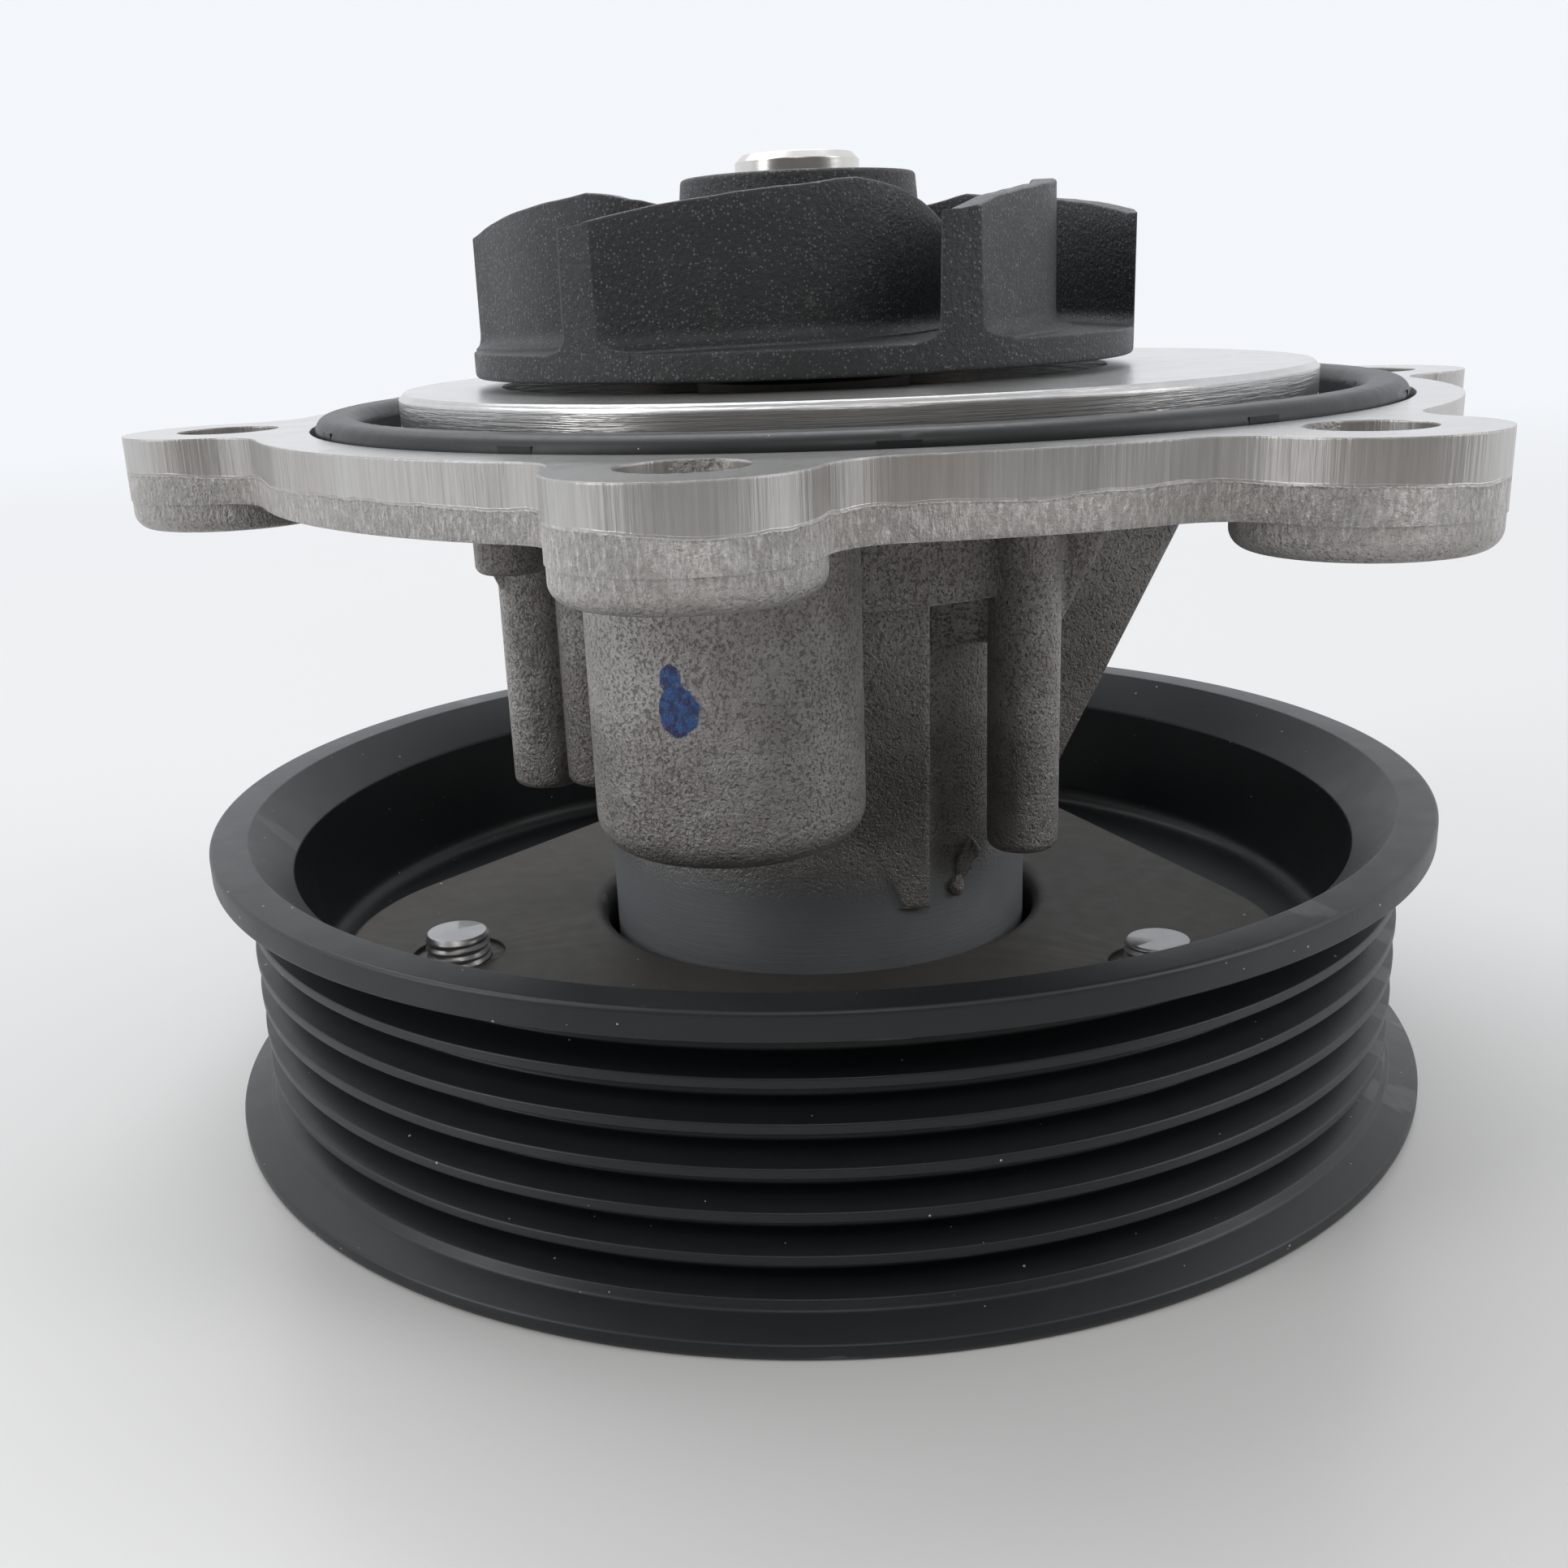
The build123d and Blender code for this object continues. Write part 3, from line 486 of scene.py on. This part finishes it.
aluminium = cast_aluminium()
coating = pulley_coating()
hub_finish = hub_steel()
plastic = impeller_plastic()
zinc = bright_steel("zinc_plate", 0.55, 0.32, 0.50, scratch=0.6, warmth=-0.01)
ground_steel = bright_steel("ground_steel", 0.78, 0.16, 0.32, warmth=0.05)
rubber = moulded_rubber("seal_rubber", 0.010, 0.34, 0.50)
brass = plain_mottled("brass", (0.55, 0.36, 0.12, 1), (0.80, 0.58, 0.25, 1), 0.25, 0.42, metallic=1.0)
carbon = plain_mottled("carbon", grey(0.02), grey(0.045), 0.35, 0.5)
ceramic = plain_mottled("ceramic", grey(0.62, 0.04), grey(0.80, 0.03), 0.14, 0.24)
cage_plastic = plain_mottled("cage_plastic", (0.30, 0.15, 0.05, 1), (0.46, 0.26, 0.10, 1), 0.4, 0.55)

NODE_FINISHES = {
    "bearing_outer_ring": ground_steel,
    "balls_pulley_side": ground_steel,
    "balls_impeller_side": ground_steel,
    "ball_cage_pulley_side": cage_plastic,
    "ball_cage_impeller_side": cage_plastic,
    "bearing_seal_pulley_side": rubber,
    "bearing_seal_impeller_side": rubber,
    "slinger": rubber,
    "seal_cup": brass,
    "seal_bellows": rubber,
    "seal_spring": ground_steel,
    "seal_carrier": ground_steel,
    "seal_carbon_ring": carbon,
    "seal_seat": ceramic,
    "seal_seat_boot": rubber,
    "impeller_insert": brass,
    "pump_housing": aluminium,
    "shaft": ground_steel,
    "pulley": coating,
    "hub_flange": hub_finish,
    "impeller": plastic,
    "flange_seal": rubber,
    "pulley_screws": zinc,
}
for node_name, finish in NODE_FINISHES.items():
    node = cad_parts[node_name]
    node.data.materials.clear()
    node.data.materials.append(finish)


# ---- Pulley ----------------------------------------------------------------------------------------

GROOVE_PITCH = 3.56             # six V grooves of the belt profile
CREST_RADIUS = 54.9
GROOVE_DEPTH = 2.7
BELT_MIDDLE = 13.44             # above the pulley's lowest face
PULLEY_BORE = 50.6
WEB_LOW = 8.3
WEB_HIGH = 11.3
WEB_HOLE = 25.5
WEB_FILLET = 2.0


def pulley_outline():
    """The turned section, anticlockwise from the foot of the bore, with every edge slightly rounded."""
    low, high = PULLEY_LOW.z, PULLEY_HIGH.z
    outer = PULLEY_HIGH.x
    corners = [
        (PULLEY_BORE, low, 0.3), (outer, low, 0.55), (outer, low + 1.3, 0.35), (55.3, low + 2.4, 0.5),
    ]
    for number in range(6):
        middle = low + BELT_MIDDLE + (number - 2.5) * GROOVE_PITCH
        corners += [
            (CREST_RADIUS, middle - 1.38, 0.22),
            (CREST_RADIUS - GROOVE_DEPTH, middle - 0.40, 0.30),
            (CREST_RADIUS - GROOVE_DEPTH, middle + 0.40, 0.30),
            (CREST_RADIUS, middle + 1.38, 0.22),
        ]
    corners += [
        (57.7, high - 2.3, 0.35), (57.7, high, 0.45), (54.3, high, 0.35),
        (PULLEY_BORE, high - 3.6, 0.5),
        (PULLEY_BORE, low + WEB_HIGH, WEB_FILLET), (WEB_HOLE, low + WEB_HIGH, 0.2),
        (WEB_HOLE, low + WEB_LOW, 0.2), (PULLEY_BORE, low + WEB_LOW, WEB_FILLET),
    ]
    return rounded(corners, steps=5)


def cut(piece, *tools, operation="DIFFERENCE"):
    """Cuts closed meshes out of a piece, or joins them to it, and keeps the result."""
    for tool in tools:
        change = piece.modifiers.new("change", "BOOLEAN")
        change.operation = operation
        change.solver = "MANIFOLD"
        change.object = tool
    result = bpy.data.meshes.new_from_object(piece.evaluated_get(bpy.context.evaluated_depsgraph_get()))
    piece.modifiers.clear()
    old, piece.data = piece.data, result
    bpy.data.meshes.remove(old)
    for tool in tools:
        bpy.data.objects.remove(tool)


def rough_shape(vertices, faces):
    """A closed mesh, in millimetres, for use in cut."""
    mesh = bpy.data.meshes.new("shape")
    mesh.from_pydata([Vector(v) * MM for v in vertices], [], faces)
    fill = bmesh.new()
    fill.from_mesh(mesh)
    bmesh.ops.recalc_face_normals(fill, faces=fill.faces)
    fill.to_mesh(mesh)
    fill.free()
    shape = bpy.data.objects.new("shape", mesh)
    bpy.context.scene.collection.objects.link(shape)
    return shape


def sharpen(piece, angle=32):
    """Smooth shading, except across edges sharper than an angle in degrees."""
    piece.data.shade_smooth()
    piece.data.set_sharp_from_angle(angle=math.radians(angle))


def at_screws(shape):
    """Three copies of a shape, one at each pulley screw, with +X pointing outwards."""
    copies = []
    vertices, faces = shape
    outwards = Vector((SCREW_CIRCLE, 0, 0))
    for angle in SCREW_ANGLES:
        turn = Matrix.Rotation(math.radians(angle), 3, "Z")
        copies.append(([tuple(turn @ (Vector(v) + outwards)) for v in vertices], faces))
    return copies


def build_pulley():
    """The turned pulley, with its three screw holes."""
    pulley = make_piece(
        "turned_pulley", *lathe(pulley_outline(), 360), "rotor", coating, "pulley_steel", ("pulley",)
    )
    low = PULLEY_LOW.z
    hole = turned_solid([(0, low + 7), (3.3, low + 7), (3.3, low + 12.5), (0, low + 12.5)], 48)
    cut(pulley, *[rough_shape(*copy) for copy in at_screws(hole)])
    sharpen(pulley)


# ---- Impeller --------------------------------------------------------------------------------------

IMPELLER_RADIUS = 29.65
DISC_LOW = 3.57
RIM_TOP = 5.8
WEB_TOP = 7.0                   # the disc's top surface where it meets the hub
HUB_FOOT = 11.6
VANE_THICKNESS = 2.3
VANE_FLARE = 1.4                # radius of the fillet at each side of a vane's foot
VANE_LEAN = 39.0
VANE_LINE = ((22.0, 46.6), (14.0, 92.5), (10.2, 121.0))     # radius, and angle swept from the tip
VANE_TOPS = ((10.4, 13.2), (22.0, 18.1), (29.65, 15.3))     # radius, height
FIRST_TIP = -126.0
BORE_RADIUS = 5.51
POCKET_RADIUS = 8.21            # the pocket in the hub that holds the metal insert
POCKET_LOW = 5.16
POCKET_TOP = 17.9


def polar(radius, degrees):
    return Vector((radius * math.cos(math.radians(degrees)), radius * math.sin(math.radians(degrees))))


def disc_top(radius):
    share = (IMPELLER_RADIUS - radius) / (IMPELLER_RADIUS - HUB_FOOT)
    return RIM_TOP + (WEB_TOP - RIM_TOP) * min(max(share, 0.0), 1.0)


def vane_top(radius):
    for (near, low), (far, high) in zip(VANE_TOPS, VANE_TOPS[1:]):
        if radius <= far:
            share = (radius - near) / (far - near)
            return low + (high - low) * max(share, 0.0)
    return VANE_TOPS[-1][1]


def vane_spine(tip_angle, steps=14):
    """Points and headings along a vane's middle line, from beyond the rim to its root in the hub."""
    knots = [polar(IMPELLER_RADIUS, tip_angle)] + [polar(r, tip_angle + sweep) for r, sweep in VANE_LINE]
    headings = [polar(1, tip_angle + 90 + VANE_LEAN)]
    for before, after in zip(knots, knots[2:]):
        headings.append((after - before).normalized())
    headings.append(polar(1, tip_angle + VANE_LINE[-1][1] + 90 + VANE_LEAN))
    overhang = headings[0] * 7
    spine = [(knots[0] - overhang, headings[0]), (knots[0] - overhang * 0.4, headings[0])]
    for index in range(3):
        a, b = knots[index], knots[index + 1]
        length = (b - a).length
        for step in range(steps + (index == 2)):
            t = step / steps
            spot = (
                a * (2 * t ** 3 - 3 * t ** 2 + 1) + headings[index] * length * (t ** 3 - 2 * t ** 2 + t)
                + b * (3 * t ** 2 - 2 * t ** 3) + headings[index + 1] * length * (t ** 3 - t ** 2)
            )
            way = (
                a * (6 * t ** 2 - 6 * t) + headings[index] * length * (3 * t ** 2 - 4 * t + 1)
                + b * (6 * t - 6 * t ** 2) + headings[index + 1] * length * (3 * t ** 2 - 2 * t)
            )
            spine.append((spot, way.normalized()))
    return spine


def vane_section(foot, top):
    """One side of a vane's section, as (half width, height), from below the disc's top upwards."""
    half = VANE_THICKNESS / 2
    side = [(half + VANE_FLARE, foot - 1.2)]
    for step in range(6):
        rise = VANE_FLARE * step / 5
        flare = VANE_FLARE - math.sqrt(max(VANE_FLARE ** 2 - (VANE_FLARE - rise) ** 2, 0.0))
        side.append((half + flare, foot + rise))
    for step in range(1, 5):
        share = step / 5
        side.append((half - 0.10 * share, foot + VANE_FLARE + (top - foot - VANE_FLARE - 0.3) * share))
    side += [(half - 0.10, top - 0.22), (half - 0.16, top - 0.07), (half - 0.32, top)]
    return side


def vane(tip_angle, chips):
    """A closed vane, which runs out past the disc's rim."""
    vertices, faces = [], []
    spine = vane_spine(tip_angle)
    count = 0
    for index, (spot, way) in enumerate(spine):
        across = Vector((-way.y, way.x))
        radius = min(spot.length, IMPELLER_RADIUS)
        foot, top = disc_top(radius), vane_top(radius)
        chip = chips.uniform(0.0, 0.09)
        side = vane_section(foot, top - chip)
        loop = side + [(-half, height) for half, height in reversed(side)]
        count = len(loop)
        for half, height in loop:
            point = spot + across * half
            vertices.append((point.x, point.y, height))
    for index in range(len(spine) - 1):
        here, there = index * count, (index + 1) * count
        for corner in range(count):
            following = (corner + 1) % count
            faces.append((here + corner, here + following, there + following, there + corner))
    # Both ends are closed across, from one side of the vane to the other.
    for end in (0, (len(spine) - 1) * count):
        for corner in range(count // 2 - 1):
            left, right = corner, count - 1 - corner
            faces.append((end + left, end + left + 1, end + right - 1, end + right))
    return vertices, faces


def build_impeller():
    """The disc and hub as one turned shape, with six vanes joined to it."""
    section = rounded([
        (BORE_RADIUS, DISC_LOW, 0), (IMPELLER_RADIUS, DISC_LOW, 0.5), (IMPELLER_RADIUS, RIM_TOP, 0.2),
        (HUB_FOOT, WEB_TOP, 1.6), (10.4, 19.5, 0.45), (BORE_RADIUS, 19.5, 0.2),
        (BORE_RADIUS, POCKET_TOP, 0), (POCKET_RADIUS, POCKET_TOP, 0),
        (POCKET_RADIUS, POCKET_LOW, 0), (BORE_RADIUS, POCKET_LOW, 0),
    ], steps=5)
    impeller = make_piece(
        "moulded_impeller", *lathe(section, 240), "rotor", plastic, "impeller_plastic", ("impeller",)
    )
    chips = random.Random(11)
    vanes = [rough_shape(*vane(FIRST_TIP + 60 * number, chips)) for number in range(6)]
    cut(impeller, *vanes, operation="UNION")
    # Trim the vanes' tips at the rim, and clear the hub's pocket where the roots run into it.
    near, far = IMPELLER_RADIUS + 0.003, IMPELLER_RADIUS + 14
    outside = [(near, 2), (far, 2), (far, 24), (near, 24)]
    below = DISC_LOW - 1
    bore = turned_solid([(0, below), (BORE_RADIUS, below), (BORE_RADIUS, 21), (0, 21)], 120)
    pocket = turned_solid(
        [(0, POCKET_LOW), (POCKET_RADIUS, POCKET_LOW), (POCKET_RADIUS, POCKET_TOP), (0, POCKET_TOP)], 120
    )
    cut(impeller, rough_shape(*lathe(outside, 240)), rough_shape(*bore), rough_shape(*pocket))
    sharpen(impeller, 38)


# ---- Pulley screws ---------------------------------------------------------------------------------

SCREW_RADIUS = 3.0
THREAD_PITCH = 0.75
SCREW_TOP = -45.5
HEAD_TOP = -54.7                # underside of the pulley's web


def threaded_end(low, high, turns=48, rises=60):
    """A screw's shank as a heightfield over angle and height, with a rounded end."""
    vertices, faces = [(0, 0, low), (0, 0, high)], []
    for row in range(rises + 1):
        level = low + (high - low) * row / rises
        for turn in range(turns):
            phase = (level / THREAD_PITCH - turn / turns) % 1.0
            depth = 0.22 * min(1.0, max(0.0, abs(phase - 0.5) * 2.6 - 0.15))
            near_end = max(0.0, level - (high - 0.40)) / 0.40
            radius = SCREW_RADIUS - depth * (1 - near_end) - 0.30 * near_end ** 2
            angle = 2 * math.pi * turn / turns
            vertices.append((radius * math.cos(angle), radius * math.sin(angle), level))
    for row in range(rises):
        here, there = 2 + row * turns, 2 + (row + 1) * turns
        for turn in range(turns):
            following = (turn + 1) % turns
            faces.append((here + turn, here + following, there + following, there + turn))
    for turn in range(turns):
        following = (turn + 1) % turns
        faces.append((0, 2 + following, 2 + turn))
        last = 2 + rises * turns
        faces.append((1, last + turn, last + following))
    return vertices, faces


def hex_head():
    """A flanged hexagon head that hangs under the pulley's web."""
    edge = rounded([
        (6.5, HEAD_TOP, 0.2), (6.5, HEAD_TOP - 0.5, 0.2),
        (5.2, HEAD_TOP - 1.6, 0.3), (4.6, HEAD_TOP - 1.7, 0),
    ])
    section = [(0, HEAD_TOP)] + [(p.x, p.y) for p in edge] + [(0, HEAD_TOP - 1.7)]
    flange = turned_solid(section, 72)
    levels = (
        (HEAD_TOP - 0.6, 1.0), (HEAD_TOP - 5.1, 1.0), (HEAD_TOP - 5.35, 0.97), (HEAD_TOP - 5.5, 0.90),
    )
    vertices, faces = [], []
    turns = 72
    for level, size in levels:
        for turn in range(turns):
            angle = 2 * math.pi * turn / turns
            flat = (angle + math.pi / 6) % (math.pi / 3) - math.pi / 6
            radius = min(5.0 / math.cos(flat), 5.62) * size
            vertices.append((radius * math.cos(angle), radius * math.sin(angle), level))
    for row in range(len(levels) - 1):
        for turn in range(turns):
            following = (turn + 1) % turns
            here, there = row * turns, (row + 1) * turns
            faces.append((here + turn, here + following, there + following, there + turn))
    faces.append(tuple(range(turns)))
    last = (len(levels) - 1) * turns
    faces.append(tuple(range(last, last + turns)))
    return joined(flange, (vertices, faces))


def build_screws():
    """Three flanged screws that hold the pulley to the hub flange."""
    screw = joined(threaded_end(HEAD_TOP - 0.3, SCREW_TOP), hex_head())
    make_piece(
        "flanged_screws", *joined(*at_screws(screw)), "rotor", zinc, "zinc_steel", ("pulley_screws",),
        sharp_angle=40,
    )


# ---- Marks on the casting --------------------------------------------------------------------------

def blob(centre, size, tilt, seed, turns=28, rises=16):
    """A lumpy ellipsoid of metal."""
    lumps = random.Random(seed)
    phase = [lumps.uniform(0, 6.28) for _ in range(6)]
    spin = Matrix.Rotation(tilt[1], 3, "Z") @ Matrix.Rotation(tilt[0], 3, "Y")
    vertices, faces = [], []
    for row in range(rises + 1):
        polar_angle = math.pi * row / rises
        for turn in range(turns if 0 < row < rises else 1):
            angle = 2 * math.pi * turn / turns
            lump = 1 + 0.10 * math.sin(3 * angle + phase[0]) * math.sin(2 * polar_angle + phase[1])
            lump += 0.05 * math.sin(5 * angle + phase[2] + 4 * polar_angle)
            spot = Vector((
                size[0] * math.sin(polar_angle) * math.cos(angle),
                size[1] * math.sin(polar_angle) * math.sin(angle),
                size[2] * math.cos(polar_angle),
            )) * lump
            vertices.append(tuple(spin @ spot + Vector(centre)))
    for row in range(rises):
        for turn in range(turns):
            following = (turn + 1) % turns
            here = 1 + (row - 1) * turns
            there = 1 + row * turns
            if row == 0:
                faces.append((0, there + turn, there + following))
            elif row == rises - 1:
                faces.append((here + turn, here + following, len(vertices) - 1))
            else:
                faces.append((here + turn, here + following, there + following, there + turn))
    return vertices, faces


def build_casting_marks():
    """A run of flash left on the neck."""
    shapes = [
        blob((13.65, -15.15, -38.9), (1.05, 0.95, 1.10), (0.10, -0.8), 1),
        blob((13.00, -15.75, -40.3), (0.75, 0.90, 1.75), (0.36, -0.8), 2),
        blob((12.30, -16.30, -41.9), (0.95, 0.85, 0.95), (0.20, -0.9), 3),
    ]
    make_piece("casting_flash", *joined(*shapes), "housing", aluminium, "cast_aluminium", sharp_angle=60)


build_pulley()
build_impeller()
build_screws()
build_casting_marks()


# ---- Stage, light and camera -----------------------------------------------------------------------

def room_tone(nodes, links, towards_back):
    """The room's colour in a direction: bright behind the pump and dimmer in front of it."""
    share = nodes.new("ShaderNodeMapRange")
    share.interpolation_type = "SMOOTHSTEP"
    share.inputs["From Min"].default_value = -0.75
    share.inputs["From Max"].default_value = 0.25
    links.new(towards_back, share.inputs["Value"])
    tone = nodes.new("ShaderNodeMix")
    tone.data_type = "RGBA"
    links.new(share.outputs[0], tone.inputs[0])
    tone.inputs[6].default_value = (0.16, 0.155, 0.15, 1)
    tone.inputs[7].default_value = (0.90, 0.925, 0.96, 1)
    return tone.outputs[2]


def build_stage():
    """A pale, slightly glossy table top that fades into the bright room."""
    s = Surface("pale_floor", Specular_IOR_Level=0.5)
    floor_paint = s.finish(s.mix(s.noise(0.004, detail=2.0), grey(0.60, 0.014), grey(0.64, 0.010)),
                           s.level(s.noise(0.01, detail=3.0), 0.24, 0.34))
    distance = s.radius_about(0, 0)
    _, y, _ = s.parts()
    glow = s.nodes.new("ShaderNodeEmission")
    s.links.new(room_tone(s.nodes, s.links, s.math("DIVIDE", y, distance)), glow.inputs["Color"])
    fade = s.nodes.new("ShaderNodeMixShader")
    s.links.new(s.step(distance, 150.0, 900.0), fade.inputs[0])
    s.links.new(s.shader.outputs[0], fade.inputs[1])
    s.links.new(glow.outputs[0], fade.inputs[2])
    s.links.new(fade.outputs[0], s.nodes["Material Output"].inputs["Surface"])
    reach = 3.0
    square = ((-reach, -reach), (reach, -reach), (reach, reach), (-reach, reach))
    corners = [(x, y, FLOOR_LEVEL) for x, y in square]
    mesh = bpy.data.meshes.new("floor")
    mesh.from_pydata(corners, [], [(0, 1, 2, 3)])
    mesh.materials.append(floor_paint)
    floor = bpy.data.objects.new("floor", mesh)
    bpy.context.scene.collection.objects.link(floor)


def soft_light(name, place, target, size, watts, colour=(1, 1, 1)):
    data = bpy.data.lights.new(name, "AREA")
    data.shape = "RECTANGLE"
    data.size, data.size_y = size
    data.energy = watts
    data.color = colour
    lamp = bpy.data.objects.new(name, data)
    lamp.location = place
    lamp.rotation_mode = "QUATERNION"
    lamp.rotation_quaternion = (Vector(target) - Vector(place)).to_track_quat("-Z", "Y")
    bpy.context.scene.collection.objects.link(lamp)


def build_light():
    """A pale room, bright behind the pump and dimmer in front of it, with four soft lamps."""
    world = bpy.data.worlds.new("studio")
    bpy.context.scene.world = world
    world.use_nodes = True
    nodes, links = world.node_tree.nodes, world.node_tree.links
    way = nodes.new("ShaderNodeTexCoord")
    split = nodes.new("ShaderNodeSeparateXYZ")
    links.new(way.outputs["Generated"], split.inputs[0])
    tone = room_tone(nodes, links, split.outputs["Y"])
    links.new(tone, nodes["Background"].inputs[0])
    nodes["Background"].inputs[1].default_value = 1.0
    bpy.context.scene.view_settings.view_transform = "Standard"
    soft_light("window", (-0.15, 0.45, 0.80), (0, 0.0, 0), (0.9, 0.6), 5.0, (0.97, 0.985, 1.0))
    soft_light("left_panel", (-0.75, -0.35, 0.40), (0, 0, -0.02), (0.30, 0.7), 2.6)
    soft_light("right_panel", (0.75, -0.20, 0.45), (0, 0, -0.02), (0.25, 0.7), 2.0)
    soft_light("front_fill", (0.02, -0.60, 0.60), (0, 0, -0.03), (0.30, 0.20), 0.9, (1.0, 0.97, 0.93))


def build_camera():
    """A camera close in front and a little above the mounting face, looking slightly down."""
    data = bpy.data.cameras.new("camera")
    data.sensor_width = 36.0
    data.lens = 38.72
    data.shift_x = 0.0077
    data.shift_y = 0.0462
    data.clip_start = 0.005
    data.clip_end = 20.0
    camera = bpy.data.objects.new("camera", data)
    right = Vector((0.99914, 0.01614, -0.03830))
    up = Vector((0.03112, 0.32020, 0.94684))
    back = right.cross(up)
    turn = Matrix((right, up, back)).transposed().to_4x4()
    camera.matrix_world = Matrix.Translation((0.0, -0.16115, FLOOR_LEVEL + 0.07323)) @ turn
    bpy.context.scene.collection.objects.link(camera)
    bpy.context.scene.camera = camera


build_stage()
build_light()
build_camera()
